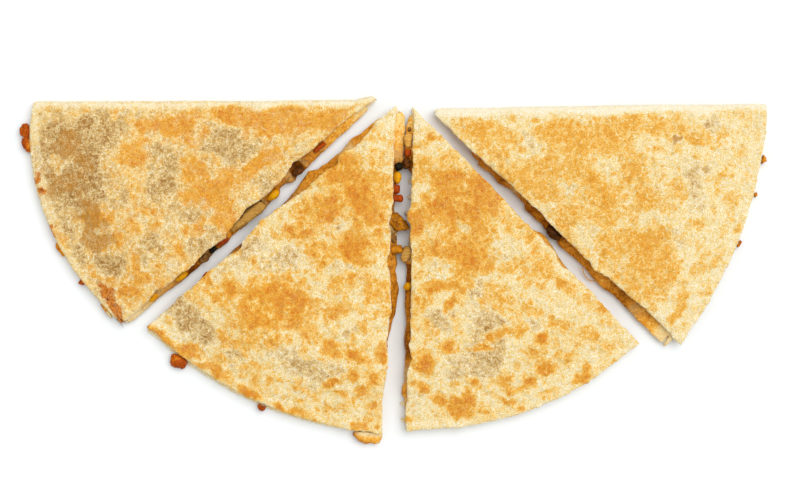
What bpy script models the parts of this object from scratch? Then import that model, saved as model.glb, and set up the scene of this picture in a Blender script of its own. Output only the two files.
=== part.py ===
"""Quesadilla: one large flour tortilla folded over a cheese filling, toasted and cut in four.

The cuts run out from the middle of the fold, so each wedge is a sector with its tip there. The
two outer wedges keep the fold as their straight side, and there the top and the bottom sheet are
one piece. In the two inner wedges the sheets are separate. Melted cheese fills every wedge, and
pieces of vegetable and meat sit in pockets of it along the cuts.

Named sizes are in millimetres and degrees; meshes are written in metres. +X runs along the fold,
+Y points from the round rim to the fold, +Z is up, and the origin is under the middle.
"""
import math
from dataclasses import dataclass

import bmesh
import bpy
from mathutils import Vector, noise

MM = 0.001

# Tortilla
SHEET = 2.0             # thickness of the tortilla
HALF_SHEET = SHEET / 2
RIM_RIPPLE = 0.35       # unevenness of the round rim
RAGGED = 0.35           # unevenness of a cut edge
RAGGED_LENGTH = 6.5     # how far apart the tears of a cut edge are

# Room between the two sheets
RIM_ROOM = 1.9          # at the rim, where they are pressed together
FOLD_ROOM = 2.6         # just inside the fold
CROWN_ROOM = 7.2        # over the middle of a wedge
RIM_FLAT = 3.0          # width of the pressed rim
RIM_RISE = 28.0         # how far in from the rim the full height is reached
FOLD_RISE = 20.0        # how far in from the fold the full height is reached
CUT_DROOP = 0.8         # how much the top sheet sinks at a cut
CUT_DROOP_WIDTH = 8.0
LUMP = 0.55             # the filling lifts the top sheet in low lumps
LUMP_LENGTH = 26.0
FOLD_WAVE = 0.35        # the fold's line wanders a little
FOLD_WAVE_LENGTH = 38.0

# Filling and the pieces in it
CLEARANCE = 0.35        # between two pieces that touch
TOP_CLEARANCE = 0.6     # under the domed sheet
FILL_BULGE = 0.7        # melted cheese stands out at half height
FILL_BULGE_LENGTH = 9.0
FILL_RIM_INSET = 1.0    # the filling stops short of the rim
POCKET_WALL = 0.5       # cheese left over and under an embedded piece
NECK_HEIGHT = 0.35      # half height of the cheese that feeds a drip
NECK_ROOT = 3.6         # how far in from the rim the neck begins
NECK_WIDTH = 0.8        # of the lobe's width
FLOOR_CLEARANCE = 0.2   # a drip hangs just clear of the surface

# Mesh fineness
ROW_SHARES = [0.0, 0.03, 0.08] + [0.08 + 0.885 * k / 11 for k in range(1, 12)] + [1.0]
TOP_COLUMNS = 7
BOTTOM_COLUMNS = 5
BEND_COLUMNS = 6


def smooth(value):
    """Rise from 0 to 1 with a level start and end."""
    value = min(max(value, 0.0), 1.0)
    return value * value * (3.0 - 2.0 * value)


def bump(value):
    """A round bump of height 1 at 0 that ends at -1 and 1."""
    return smooth(1.0 - abs(value))


def ripple(x, seed, length):
    """Seeded noise along one line, about -1 to 1."""
    return 1.6 * noise.noise(Vector((x / length, seed * 7.31, 3.7)))


@dataclass
class Cut:
    """A cut edge: how far it leaves the straight line from the tip, outward positive."""
    end: float = 0.0
    bow: float = 0.0
    waves: tuple = ()       # (distance from the tip, half length, shift)

    def shift(self, distance, length):
        share = distance / length
        value = self.end * share + self.bow * 4.0 * share * (1.0 - share)
        for centre, half, push in self.waves:
            value += push * bump((distance - centre) / half)
        return value


@dataclass
class Wedge:
    """One sector. Its first side runs out from the tip at start, the other one sweep further."""
    name: str
    tip: tuple              # x, y
    start: float
    sweep: float
    turn: int               # 1 where the sweep runs anticlockwise, -1 where it runs clockwise
    radii: tuple            # at the first side, half way and at the other side
    tip_radius: float       # where the blunt tip begins
    fold_lead: float        # angle between the fold's line and the first side
    under_rim: tuple        # how far the bottom sheet passes the top one at the rim, start and end
    first_top: Cut
    first_bottom: Cut
    last_top: Cut
    last_bottom: Cut
    fill_waves: tuple = ()  # waves of the filling alone, at the other side
    first_fill_waves: tuple = ()
    seed: int = 0

    @property
    def folded(self):
        return self.fold_lead == 0.0

    def rim(self, share):
        """Radius of the top sheet's rim at a share of the sweep."""
        first, middle, last = self.radii
        curve = 2.0 * (first + last - 2.0 * middle)
        slope = last - first - curve
        radius = first + slope * share + curve * share * share
        return radius + RIM_RIPPLE * ripple(share * middle, self.seed + 0.5, 14.0)

    def under_rim_extra(self, share):
        first, last = self.under_rim
        return first + (last - first) * share ** 3

    def room(self, radius, share, fold_distance):
        """Height of the room between the two sheets."""
        rim_share = smooth((self.rim(share) - radius - RIM_FLAT) / RIM_RISE)
        fold_share = smooth((fold_distance - FOLD_ROOM) / FOLD_RISE)
        arc = math.radians(self.sweep) * radius
        to_cut = arc * (1.0 - share)
        if not self.folded:
            to_cut = min(to_cut, arc * share)
        droop = CUT_DROOP * (1.0 - smooth(to_cut / CUT_DROOP_WIDTH))
        angle = math.radians(self.sweep * share)
        place = Vector((radius * math.cos(angle), radius * math.sin(angle), 40.0 * self.seed))
        lump = LUMP * 1.6 * noise.noise(place / LUMP_LENGTH)
        rise = CROWN_ROOM - FOLD_ROOM - droop + lump
        return RIM_ROOM + rim_share * (FOLD_ROOM - RIM_ROOM + fold_share * rise)

    def local(self, along, across, height):
        """A point of the wedge's own frame, in metres; across grows from the first side."""
        return Vector((along, self.turn * across, height)) * MM

    def side_point(self, side, distance, out):
        """Along and across of a point at a cut side, moved outward from it."""
        if side == "first":
            return distance, -out
        angle = math.radians(self.sweep)
        return (distance * math.cos(angle) - out * math.sin(angle),
                distance * math.sin(angle) + out * math.cos(angle))


STRAIGHT = Cut()

LEFT = Wedge(
    name="left", tip=(-9.9, 1.9), start=180.4, sweep=40.1, turn=1,
    radii=(158.9, 161.3, 153.3), tip_radius=3.0, fold_lead=0.0, under_rim=(0.3, 0.3),
    first_top=STRAIGHT, first_bottom=STRAIGHT,
    last_top=Cut(end=-0.3, bow=-1.2,
                 waves=((26.0, 22.0, -2.0), (44.0, 18.0, -2.4), (74.0, 12.0, -0.8))),
    last_bottom=Cut(bow=1.2, waves=((12.0, 18.0, -1.7), (34.0, 16.0, -1.4),
                                    (106.0, 30.0, 1.0))),
    fill_waves=((60.5, 4.0, -1.6),), seed=1)

MID_LEFT = Wedge(
    name="mid_left", tip=(-4.5, -0.45), start=221.6, sweep=45.96, turn=1,
    radii=(149.8, 147.0, 147.7), tip_radius=1.2, fold_lead=41.6, under_rim=(1.7, 0.4),
    first_top=Cut(bow=0.2, waves=((80.0, 8.0, -1.0),)),
    first_bottom=Cut(bow=0.5, waves=((42.0, 34.0, 2.8),)),
    last_top=STRAIGHT,
    last_bottom=Cut(waves=((12.0, 20.0, 3.9), (45.0, 60.0, 1.9), (82.0, 14.0, 1.2))),
    seed=2)

MID_RIGHT = Wedge(
    name="mid_right", tip=(2.97, -0.9), start=313.57, sweep=44.74, turn=-1,
    radii=(147.2, 146.6, 145.4), tip_radius=1.2, fold_lead=46.43, under_rim=(0.2, 0.2),
    first_top=STRAIGHT,
    first_bottom=Cut(bow=-1.0),
    last_top=Cut(bow=-0.9),
    last_bottom=Cut(bow=1.1, waves=((13.0, 17.0, 2.3),)),
    first_fill_waves=((87.0, 10.0, 2.6),), seed=3)

RIGHT = Wedge(
    name="right", tip=(10.8, -2.2), start=0.78, sweep=43.2, turn=-1,
    radii=(152.1, 150.9, 154.2), tip_radius=3.0, fold_lead=0.0, under_rim=(0.3, -5.4),
    first_top=STRAIGHT, first_bottom=STRAIGHT,
    last_top=Cut(bow=1.35),
    last_bottom=Cut(end=6.4, bow=1.6),
    seed=4)

WEDGES = (LEFT, MID_LEFT, MID_RIGHT, RIGHT)


@dataclass
class Drip:
    """Cheese that ran out at the rim: where, its half sizes, and how far off the rim it hangs."""
    wedge: Wedge
    angle: float
    radial: float
    along_rim: float
    away: float = 0.0


DRIPS = (
    Drip(LEFT, 4.3, 2.7, 2.9, 0.8),
    Drip(LEFT, 6.5, 2.6, 3.6),
    Drip(LEFT, 24.3, 1.5, 4.2),
    Drip(LEFT, 30.6, 2.0, 1.7),
    Drip(LEFT, 36.6, 1.3, 4.6),
    Drip(MID_LEFT, 7.9, 3.0, 4.0),
    Drip(MID_LEFT, 24.3, 1.6, 2.0),
    Drip(MID_LEFT, 43.4, 2.9, 7.0),
    Drip(RIGHT, 9.2, 2.3, 2.3),
    Drip(RIGHT, 15.3, 1.6, 1.7),
    Drip(RIGHT, 24.2, 1.8, 2.2),
)


@dataclass
class Morsel:
    """A piece in the filling: its kind and place at a cut, its size and how it is turned."""
    name: str
    kind: str
    wedge: Wedge
    side: str
    distance: float
    out: float
    size: tuple             # along the cut, across it, high
    spin: float = 0.0
    lift: float = 0.0


MORSELS = (
    Morsel("red_pepper_left_1", "pepper", LEFT, "last", 35.6, -3.0, (5.6, 1.6, 1.9), -3.0, 0.4),
    Morsel("meat_left", "meat", LEFT, "last", 49.8, -1.1, (6.4, 3.4, 3.8)),
    Morsel("corn_left_1", "corn", LEFT, "last", 65.6, -0.1, (6.4, 3.6, 4.2)),
    Morsel("chicken_left", "chicken", LEFT, "last", 80.6, -0.1, (18.4, 3.6, 4.2), -1.0),
    Morsel("red_pepper_left_2", "pepper", LEFT, "last", 96.4, 1.0, (5.2, 1.6, 2.0), -10.0),
    Morsel("olive_left", "olive", LEFT, "last", 102.2, 1.0, (3.2, 1.8, 2.4)),
    Morsel("mushroom_left", "mushroom", LEFT, "last", 107.6, 1.3, (5.8, 3.2, 3.4)),
    Morsel("corn_left_2", "corn", LEFT, "last", 120.7, 0.8, (6.2, 2.8, 3.2), -3.0),
    Morsel("corn_left_3", "corn", LEFT, "last", 136.7, -0.2, (5.2, 2.4, 2.6)),
    Morsel("olive_mid_left", "olive", MID_LEFT, "last", 27.2, 2.4, (3.3, 2.8, 3.2), 20.0),
    Morsel("corn_mid_left", "corn", MID_LEFT, "last", 32.2, 1.9, (5.4, 3.6, 4.0), 4.0),
    Morsel("red_pepper_mid_left_1", "pepper", MID_LEFT, "last", 37.4, 1.6, (3.4, 2.6, 3.4), 0.0),
    Morsel("red_pepper_mid_left_2", "pepper", MID_LEFT, "last", 41.4, 2.4, (2.4, 4.0, 3.0), 0.0),
    Morsel("yellow_pepper_mid_left", "chunk", MID_LEFT, "last", 52.2, 2.7, (8.6, 5.6, 4.6), 40.0),
    Morsel("mushroom_mid_left", "mushroom", MID_LEFT, "last", 59.6, 1.2, (4.2, 3.0, 3.4), 0.0),
    Morsel("orange_pepper_mid_left", "pepper", MID_LEFT, "last", 64.6, 2.9, (3.2, 4.4, 3.4), 12.0),
    Morsel("red_pepper_mid_left_3", "pepper", MID_LEFT, "first", 114.7, -0.8, (3.6, 2.4, 2.4), 12.0),
    Morsel("mushroom_mid_right", "mushroom", MID_RIGHT, "last", 10.0, 1.1, (2.4, 2.2, 2.0)),
    Morsel("chicken_mid_right_1", "chicken", MID_RIGHT, "last", 15.4, 1.5, (5.4, 3.4, 3.4), 0.0),
    Morsel("red_pepper_mid_right", "pepper", MID_RIGHT, "last", 20.6, 1.6, (2.8, 2.4, 2.8), 0.0),
    Morsel("meat_mid_right", "meat", MID_RIGHT, "last", 25.4, 1.9, (5.2, 4.6, 4.0)),
    Morsel("chicken_mid_right_2", "chicken", MID_RIGHT, "last", 66.6, 1.5, (6.8, 4.0, 4.2), 26.0),
    Morsel("corn_mid_right", "corn", MID_RIGHT, "last", 80.8, 0.6, (3.8, 3.2, 3.8), 60.0),
    Morsel("bean_right", "bean", RIGHT, "last", 78.4, 3.4, (8.0, 4.2, 4.2), 0.0),
)

# Colour and roughness of each kind of piece
FINISHES = {
    "tortilla": ((0.87, 0.67, 0.36), 0.75),
    "cheese": ((0.80, 0.47, 0.12), 0.42),
    "corn": ((0.83, 0.50, 0.02), 0.35),
    "pepper": ((0.60, 0.10, 0.02), 0.35),
    "chunk": ((0.66, 0.34, 0.04), 0.40),
    "mushroom": ((0.28, 0.15, 0.07), 0.55),
    "meat": ((0.20, 0.08, 0.03), 0.60),
    "chicken": ((0.72, 0.48, 0.22), 0.55),
    "bean": ((0.06, 0.04, 0.02), 0.40),
    "olive": ((0.03, 0.04, 0.01), 0.35),
}


def clear_scene():
    for obj in list(bpy.data.objects):
        bpy.data.objects.remove(obj, do_unlink=True)


def finish(name):
    """The material of one kind of piece, made on first use."""
    if name in bpy.data.materials:
        return bpy.data.materials[name]
    colour, roughness = FINISHES[name]
    material = bpy.data.materials.new(name)
    material.use_nodes = True
    shader = material.node_tree.nodes["Principled BSDF"]
    shader.inputs["Base Color"].default_value = (*colour, 1.0)
    shader.inputs["Roughness"].default_value = roughness
    shader.inputs["Metallic"].default_value = 0.0
    return material


def new_object(name, bm, collection, parent, material=None):
    mesh = bpy.data.meshes.new(name)
    bm.to_mesh(mesh)
    bm.free()
    if material:
        mesh.materials.append(finish(material))
    obj = bpy.data.objects.new(name, mesh)
    collection.objects.link(obj)
    obj.parent = parent
    return obj


def row_share(row):
    """Share of the way from the tip to the rim at a row, also between two rows."""
    index = min(int(row), len(ROW_SHARES) - 2)
    return ROW_SHARES[index] + (ROW_SHARES[index + 1] - ROW_SHARES[index]) * (row - index)


def cut_shift(wedge, cut, distance, seed):
    length = wedge.radii[1]
    torn = RAGGED * ripple(distance, wedge.seed + seed, RAGGED_LENGTH)
    return (cut.shift(distance, length) + torn) * smooth(distance / 8.0)


def bend_size(wedge, radius):
    """Half height of the fold at a distance from the tip, and how far in its bend reaches."""
    height = (wedge.room(radius, 0.0, 0.0) + SHEET) / 2
    reach = min(height, 0.8 * radius * math.sin(math.radians(wedge.sweep)))
    return height, reach


def fold_wander(wedge, along, across):
    """How far the fold's unevenness moves a point, fading out away from the fold."""
    fade = 1.0 - smooth(across / FOLD_RISE)
    return fade * FOLD_WAVE * ripple(along, wedge.seed + 0.9, FOLD_WAVE_LENGTH)


def sheet_point(wedge, radius, share, first_cut, last_cut, inner_angle=0.0):
    """Along and across of a sheet's point, with both of its cut edges shifted."""
    sweep = math.radians(wedge.sweep)
    angle = inner_angle + (sweep - inner_angle) * share
    along = radius * math.cos(angle)
    across = radius * math.sin(angle)
    push = last_cut * share * share
    along -= push * math.sin(sweep)
    across += push * math.cos(sweep)
    across -= first_cut * (1.0 - share) ** 2
    return along, across


def top_point(wedge, radius, share, inner_angle=0.0):
    """A point in the middle of the top sheet's thickness."""
    first = 0.0 if wedge.folded else cut_shift(wedge, wedge.first_top, radius, 0.1)
    last = cut_shift(wedge, wedge.last_top, radius, 0.2)
    along, across = sheet_point(wedge, radius, share, first, last, inner_angle)
    sweep = math.radians(wedge.sweep)
    angle = inner_angle + (sweep - inner_angle) * share
    from_fold = radius * math.sin(math.radians(wedge.fold_lead) + angle)
    height = SHEET + wedge.room(radius, angle / sweep, from_fold) + HALF_SHEET
    return along, across, height


def bottom_point(wedge, radius, share, inner_angle=0.0):
    """A point in the middle of the bottom sheet's thickness."""
    first = 0.0 if wedge.folded else cut_shift(wedge, wedge.first_bottom, radius, 0.3)
    last = cut_shift(wedge, wedge.last_bottom, radius, 0.4)
    along, across = sheet_point(wedge, radius, share, first, last, inner_angle)
    return along, across, HALF_SHEET


def rim_radius(wedge, row, share, extra=0.0):
    reach = wedge.rim(share) + extra - wedge.tip_radius
    return wedge.tip_radius + reach * row_share(row)


def parameter_grid(columns):
    """An open grid whose x counts rows and whose y counts columns, finer at its edges."""
    rows = len(ROW_SHARES) - 1
    bm = bmesh.new()
    bmesh.ops.create_grid(bm, x_segments=rows, y_segments=columns, size=1.0)
    for vert in bm.verts:
        vert.co.x = round((vert.co.x + 1.0) / 2.0 * rows)
        vert.co.y = round((vert.co.y + 1.0) / 2.0 * columns)
    edges = [edge for edge in bm.edges if edge.is_boundary]
    bmesh.ops.subdivide_edges(bm, edges=edges, cuts=1)
    return bm


def dissolve_flat(bm, height):
    """Join the faces that lie in one level plane into one face."""
    flat = [face for face in bm.faces
            if all(abs(vert.co.z - height * MM) < 1e-7 for vert in face.verts)]
    bmesh.ops.dissolve_faces(bm, faces=flat)


def thicken(obj):
    solid = obj.modifiers.new("thickness", "SOLIDIFY")
    solid.thickness = SHEET * MM
    solid.offset = 0.0
    solid.use_even_offset = True
    solid.use_quality_normals = True


def make_folded_tortilla(wedge, parent, collection):
    """Bottom sheet, fold and top sheet as one bent sheet."""
    columns = BOTTOM_COLUMNS + BEND_COLUMNS + TOP_COLUMNS
    bm = parameter_grid(columns)
    for vert in bm.verts:
        row, column = vert.co.x, vert.co.y
        if column < BOTTOM_COLUMNS:
            share = 1.0 - column / BOTTOM_COLUMNS
            radius = rim_radius(wedge, row, share, wedge.under_rim_extra(share))
            reach = bend_size(wedge, radius)[1]
            place = bottom_point(wedge, radius, share, math.asin(reach / radius))
        elif column <= BOTTOM_COLUMNS + BEND_COLUMNS:
            radius = rim_radius(wedge, row, 0.0)
            half, reach = bend_size(wedge, radius)
            turned = math.pi * ((column - BOTTOM_COLUMNS) / BEND_COLUMNS - 0.5)
            across = reach * (1.0 - math.cos(turned))
            along = math.sqrt(radius * radius - across * across)
            place = along, across, HALF_SHEET + half + half * math.sin(turned)
        else:
            share = (column - BOTTOM_COLUMNS - BEND_COLUMNS) / TOP_COLUMNS
            radius = rim_radius(wedge, row, share)
            reach = bend_size(wedge, radius)[1]
            place = top_point(wedge, radius, share, math.asin(reach / radius))
        along, across, height = place
        vert.co = wedge.local(along, across + fold_wander(wedge, along, across), height)
    dissolve_flat(bm, HALF_SHEET)
    obj = new_object("tortilla_" + wedge.name, bm, collection, parent, "tortilla")
    thicken(obj)
    return obj


def make_sheet(wedge, name, point, columns, extra, parent, collection):
    """One open sheet of an inner wedge."""
    bm = parameter_grid(columns)
    for vert in bm.verts:
        share = vert.co.y / columns
        radius = rim_radius(wedge, vert.co.x, share, extra(share))
        vert.co = wedge.local(*point(wedge, radius, share))
    dissolve_flat(bm, HALF_SHEET)
    obj = new_object(name, bm, collection, parent, "tortilla")
    thicken(obj)
    return obj


def fill_side(wedge, radius, level, side):
    """How far the filling's side stands out from the straight cut, at a level from 0 to 1."""
    if side == "first":
        top = cut_shift(wedge, wedge.first_top, radius, 0.1)
        bottom = cut_shift(wedge, wedge.first_bottom, radius, 0.3)
        waves = wedge.first_fill_waves
    else:
        top = cut_shift(wedge, wedge.last_top, radius, 0.2)
        bottom = cut_shift(wedge, wedge.last_bottom, radius, 0.4)
        waves = wedge.fill_waves
    own = Cut(waves=waves).shift(radius, wedge.radii[1])
    bulge = FILL_BULGE * (0.5 + 0.5 * ripple(radius, wedge.seed + 0.6, FILL_BULGE_LENGTH))
    belly = 4.0 * level * (1.0 - level)
    inset = 0.3 + 0.2 * level
    return bottom + (top - bottom) * level - inset + belly * bulge + own * (0.35 + 0.65 * belly)


def make_filling(wedge, parent, collection):
    """The melted cheese between the sheets, open at the cuts."""
    rows = len(ROW_SHARES) - 2
    columns = TOP_COLUMNS
    bm = bmesh.new()
    bmesh.ops.create_cube(bm, size=1.0)
    for axis, cuts in ((0, rows - 1), (1, columns - 1), (2, 1)):
        edges = [edge for edge in bm.edges
                 if abs(edge.verts[0].co[axis] - edge.verts[1].co[axis]) > 0.5]
        bmesh.ops.subdivide_edges(bm, edges=edges, cuts=cuts, use_grid_fill=True)
    for vert in bm.verts:
        row = 1.0 + rows * (vert.co.x + 0.5)
        share = vert.co.y + 0.5
        level = vert.co.z + 0.5
        short_of_rim = min(0.0, wedge.under_rim_extra(share)) * (1.0 - level)
        radius = rim_radius(wedge, row, share, short_of_rim)
        at_rim = row > rows + 0.5
        if at_rim:
            radius += -FILL_RIM_INSET + 3.2 * level * (1.0 - level)
        inner_angle = 0.0
        first = 0.0
        if wedge.folded:
            inner_angle = math.asin(min(0.8, (FOLD_ROOM + 0.3) / radius))
        else:
            first = fill_side(wedge, radius, level, "first")
        last = fill_side(wedge, radius, level, "last")
        along, across = sheet_point(wedge, radius, share, first, last, inner_angle)
        if wedge.folded:
            across += fold_wander(wedge, along, across)
        ceiling = top_point(wedge, radius, share, inner_angle)[2] - HALF_SHEET - TOP_CLEARANCE
        base = SHEET + CLEARANCE
        vert.co = wedge.local(along, across, base + (ceiling - base) * level)
    dissolve_flat(bm, SHEET + CLEARANCE)
    bmesh.ops.recalc_face_normals(bm, faces=bm.faces[:])
    return new_object("filling_" + wedge.name, bm, collection, parent, "cheese")


def boolean(target, tool, operation):
    modifier = target.modifiers.new(tool.name, "BOOLEAN")
    modifier.operation = operation
    modifier.solver = "EXACT"
    modifier.object = tool


def hide_tool(obj):
    obj.hide_render = True
    obj.display_type = "WIRE"


def make_drip(drip, index, filling, parent, tools):
    """A lobe outside the rim, and the flat neck that joins it to the filling."""
    wedge = drip.wedge
    share = drip.angle / wedge.sweep
    rim = wedge.rim(share)
    edge = rim + max(0.0, wedge.under_rim_extra(share)) + CLEARANCE
    centre = edge + drip.away + drip.radial
    half_height = min(2.0, 0.85 * drip.radial)
    lobe_height = max(half_height + FLOOR_CLEARANCE, SHEET + 0.5)
    neck_height = SHEET + (RIM_ROOM + CLEARANCE - TOP_CLEARANCE) / 2
    neck_half = (centre - rim + NECK_ROOT) / 2
    parts = (("lobe", centre, lobe_height, (drip.radial, drip.along_rim, half_height)),
             ("neck", centre - neck_half, neck_height,
              (neck_half, NECK_WIDTH * drip.along_rim, NECK_HEIGHT)))
    for part, radius, height, halves in parts:
        bm = bmesh.new()
        if part == "lobe":
            bmesh.ops.create_icosphere(bm, subdivisions=2, radius=1.0)
        else:
            bmesh.ops.create_cube(bm, size=2.0)
        bmesh.ops.scale(bm, vec=Vector(halves) * MM, verts=bm.verts[:])
        obj = new_object(f"{part}_{wedge.name}_{index}", bm, tools, parent)
        angle = math.radians(drip.angle)
        obj.location = wedge.local(radius * math.cos(angle), radius * math.sin(angle), height)
        obj.rotation_euler.z = wedge.turn * angle
        hide_tool(obj)
        boolean(filling, obj, "UNION")


def shape_corn(vert):
    """A kernel: broad at one end, narrow at the other, a little flat."""
    x = vert.co.x
    vert.co.y *= 1.0 - 0.26 * x - 0.12 * x * x
    vert.co.z *= 1.0 - 0.18 * x
    vert.co.x = x * (1.0 - 0.08 * vert.co.z * vert.co.z)


def shape_meat(vert):
    """A minced crumb with knobs."""
    vert.co *= 0.92 + 0.22 * noise.noise(vert.co * 1.9 + Vector((4.0, 1.0, 2.0)))


def shape_bean(vert):
    """A kidney form."""
    vert.co.y += 0.22 * vert.co.x * vert.co.x - 0.1
    vert.co.z *= 0.96


def shape_mushroom(vert):
    """A cut cap: a hollow under it and a thicker rim."""
    hollow = 1.0 - smooth(abs(vert.co.x) / 0.7)
    vert.co.z -= 0.28 * hollow if vert.co.z > 0.0 else 0.0
    vert.co.y *= 0.95 + 0.12 * vert.co.x


def shape_chunk(vert):
    """A diced piece cut askew."""
    vert.co.x += 0.32 * vert.co.y
    vert.co.y *= 1.0 - 0.10 * vert.co.z


def shape_chicken(vert):
    """A torn strip that tapers to one end."""
    vert.co.y *= 1.0 - 0.28 * vert.co.x
    vert.co.z *= 1.0 - 0.15 * vert.co.x


def shape_olive(vert):
    """A bit of a dark olive, blunt on all sides."""
    vert.co *= 0.96


def shape_pepper(vert):
    """A diced piece of wall, slightly curved."""
    vert.co.y += 0.16 * vert.co.x * vert.co.x - 0.08


ROUND_SHAPES = {"corn": shape_corn, "meat": shape_meat, "bean": shape_bean,
                "mushroom": shape_mushroom}
DICED_SHAPES = {"pepper": shape_pepper, "chunk": shape_chunk, "chicken": shape_chicken,
                "olive": shape_olive}
CORNERS = {"pepper": 0.26, "chunk": 0.22, "chicken": 0.38, "olive": 0.36}  # of a half size


def morsel_mesh(kind, size, grow):
    """The mesh of a morsel round its own middle, grown on every side where asked."""
    bm = bmesh.new()
    if kind in ROUND_SHAPES:
        bmesh.ops.create_icosphere(bm, subdivisions=2, radius=1.0)
        shape = ROUND_SHAPES[kind]
    else:
        bmesh.ops.create_cube(bm, size=2.0)
        bmesh.ops.bevel(bm, geom=bm.edges[:], offset=CORNERS[kind], segments=1, profile=0.5,
                        affect="EDGES", material=-1)
        shape = DICED_SHAPES[kind]
    for vert in bm.verts:
        shape(vert)
    halves = Vector([length / 2 + grow for length in size]) * MM
    bmesh.ops.scale(bm, vec=halves, verts=bm.verts[:])
    bmesh.ops.recalc_face_normals(bm, faces=bm.faces[:])
    return bm


def make_morsel(morsel, filling, parent, collection, tools):
    """A piece in the filling and the pocket that it sits in."""
    wedge = morsel.wedge
    along, across = wedge.side_point(morsel.side, morsel.distance, morsel.out)
    share = 0.97 if morsel.side == "last" else 0.03
    from_fold = math.radians(wedge.fold_lead + wedge.sweep * share)
    room = wedge.room(morsel.distance, share, morsel.distance * math.sin(from_fold))
    length, width, height = morsel.size
    height = min(height, room - CLEARANCE - TOP_CLEARANCE - 2.0 * POCKET_WALL)
    middle = SHEET + (room + CLEARANCE - TOP_CLEARANCE) / 2 + morsel.lift
    side_angle = wedge.sweep if morsel.side == "last" else 0.0
    spin = wedge.turn * math.radians(side_angle + morsel.spin)
    size = length, width, height
    piece = new_object(morsel.name, morsel_mesh(morsel.kind, size, 0.0), collection, parent,
                       morsel.kind)
    pocket = new_object("pocket_" + morsel.name, morsel_mesh(morsel.kind, size, CLEARANCE),
                        tools, parent)
    for obj in (piece, pocket):
        obj.location = wedge.local(along, across, middle)
        obj.rotation_euler.z = spin
    hide_tool(pocket)
    boolean(filling, pocket, "DIFFERENCE")


def make_wedge(wedge, root, collection, tools):
    """One wedge on an empty at its tip."""
    place = bpy.data.objects.new("place_" + wedge.name, None)
    collection.objects.link(place)
    place.parent = root
    place.location = (wedge.tip[0] * MM, wedge.tip[1] * MM, 0.0)
    place.rotation_euler.z = math.radians(wedge.start)
    if wedge.folded:
        make_folded_tortilla(wedge, place, collection)
    else:
        make_sheet(wedge, "top_sheet_" + wedge.name, top_point, TOP_COLUMNS,
                   lambda share: 0.0, place, collection)
        make_sheet(wedge, "bottom_sheet_" + wedge.name, bottom_point, BOTTOM_COLUMNS,
                   wedge.under_rim_extra, place, collection)
    filling = make_filling(wedge, place, collection)
    for index, drip in enumerate(DRIPS, 1):
        if drip.wedge is wedge:
            make_drip(drip, index, filling, place, tools)
    for morsel in MORSELS:
        if morsel.wedge is wedge:
            make_morsel(morsel, filling, place, collection, tools)


def centre_over_origin(root, collection):
    """Move the whole so that its box is centred over the origin."""
    depsgraph = bpy.context.evaluated_depsgraph_get()
    points = []
    for obj in collection.objects:
        if obj.type == "MESH":
            seen = obj.evaluated_get(depsgraph)
            points += [seen.matrix_world @ vert.co for vert in seen.data.vertices]
    for axis in (0, 1):
        values = [point[axis] for point in points]
        root.location[axis] = -(min(values) + max(values)) / 2


def main():
    clear_scene()
    collection = bpy.data.collections.new("quesadilla")
    tools = bpy.data.collections.new("cutters")
    bpy.context.scene.collection.children.link(collection)
    bpy.context.scene.collection.children.link(tools)
    root = bpy.data.objects.new("quesadilla", None)
    collection.objects.link(root)
    for wedge in WEDGES:
        make_wedge(wedge, root, collection, tools)
    centre_over_origin(root, collection)


main()
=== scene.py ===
"""Looks of a quesadilla: griddled flour tortillas, melted cheese and the pieces cooked in it.

Every solid of the frame is copied, meshed finely, given blisters, torn edges and a griddled
surface, and stands in the scene for that solid. Lengths in the settings are metres; the shape
functions work in millimetres.
"""

import math
from collections.abc import Callable
from contextlib import contextmanager
from dataclasses import dataclass
from functools import partial
from types import SimpleNamespace

import bmesh
import bpy
import numpy as np
from bpy.props import FloatProperty, FloatVectorProperty, PointerProperty
from bpy.types import NodeSocket, Operator, Panel, PropertyGroup
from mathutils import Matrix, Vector


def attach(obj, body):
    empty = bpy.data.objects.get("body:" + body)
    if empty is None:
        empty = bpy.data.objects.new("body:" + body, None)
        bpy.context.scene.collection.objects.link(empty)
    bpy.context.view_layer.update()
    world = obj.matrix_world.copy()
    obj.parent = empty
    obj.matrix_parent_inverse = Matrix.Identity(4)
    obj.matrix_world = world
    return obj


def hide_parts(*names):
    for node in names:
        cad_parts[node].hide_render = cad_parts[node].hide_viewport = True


bl_info = {
    "name": "Quesadilla looks",
    "version": (1, 0, 0),
    "blender": (4, 5, 0),
    "location": "3D View > Sidebar > Quesadilla",
    "description": "Griddled tortillas, melted cheese and fillings for a quesadilla in four wedges",
    "category": "Object",
}

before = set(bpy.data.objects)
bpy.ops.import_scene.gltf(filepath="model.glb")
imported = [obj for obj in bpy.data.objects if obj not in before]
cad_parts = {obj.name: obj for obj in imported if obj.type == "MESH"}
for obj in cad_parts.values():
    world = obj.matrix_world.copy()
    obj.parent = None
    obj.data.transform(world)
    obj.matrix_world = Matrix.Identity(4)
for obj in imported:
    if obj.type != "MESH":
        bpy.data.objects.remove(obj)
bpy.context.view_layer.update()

MM = 0.001
WELD = 0.02 * MM         # points of a copied solid that lie closer are one

# Heights, mm
TOP_LEVEL = 4.4          # the outer face of a top sheet lies higher than this
PATTERN_SPLIT = 3.0      # above this the dough has the marks of its top, below it others
SHEET_SPLIT = 2.3        # between the bottom sheet and the top one
UNDER_LEVEL = 1.0        # the outer face of a bottom sheet lies lower than this

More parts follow.
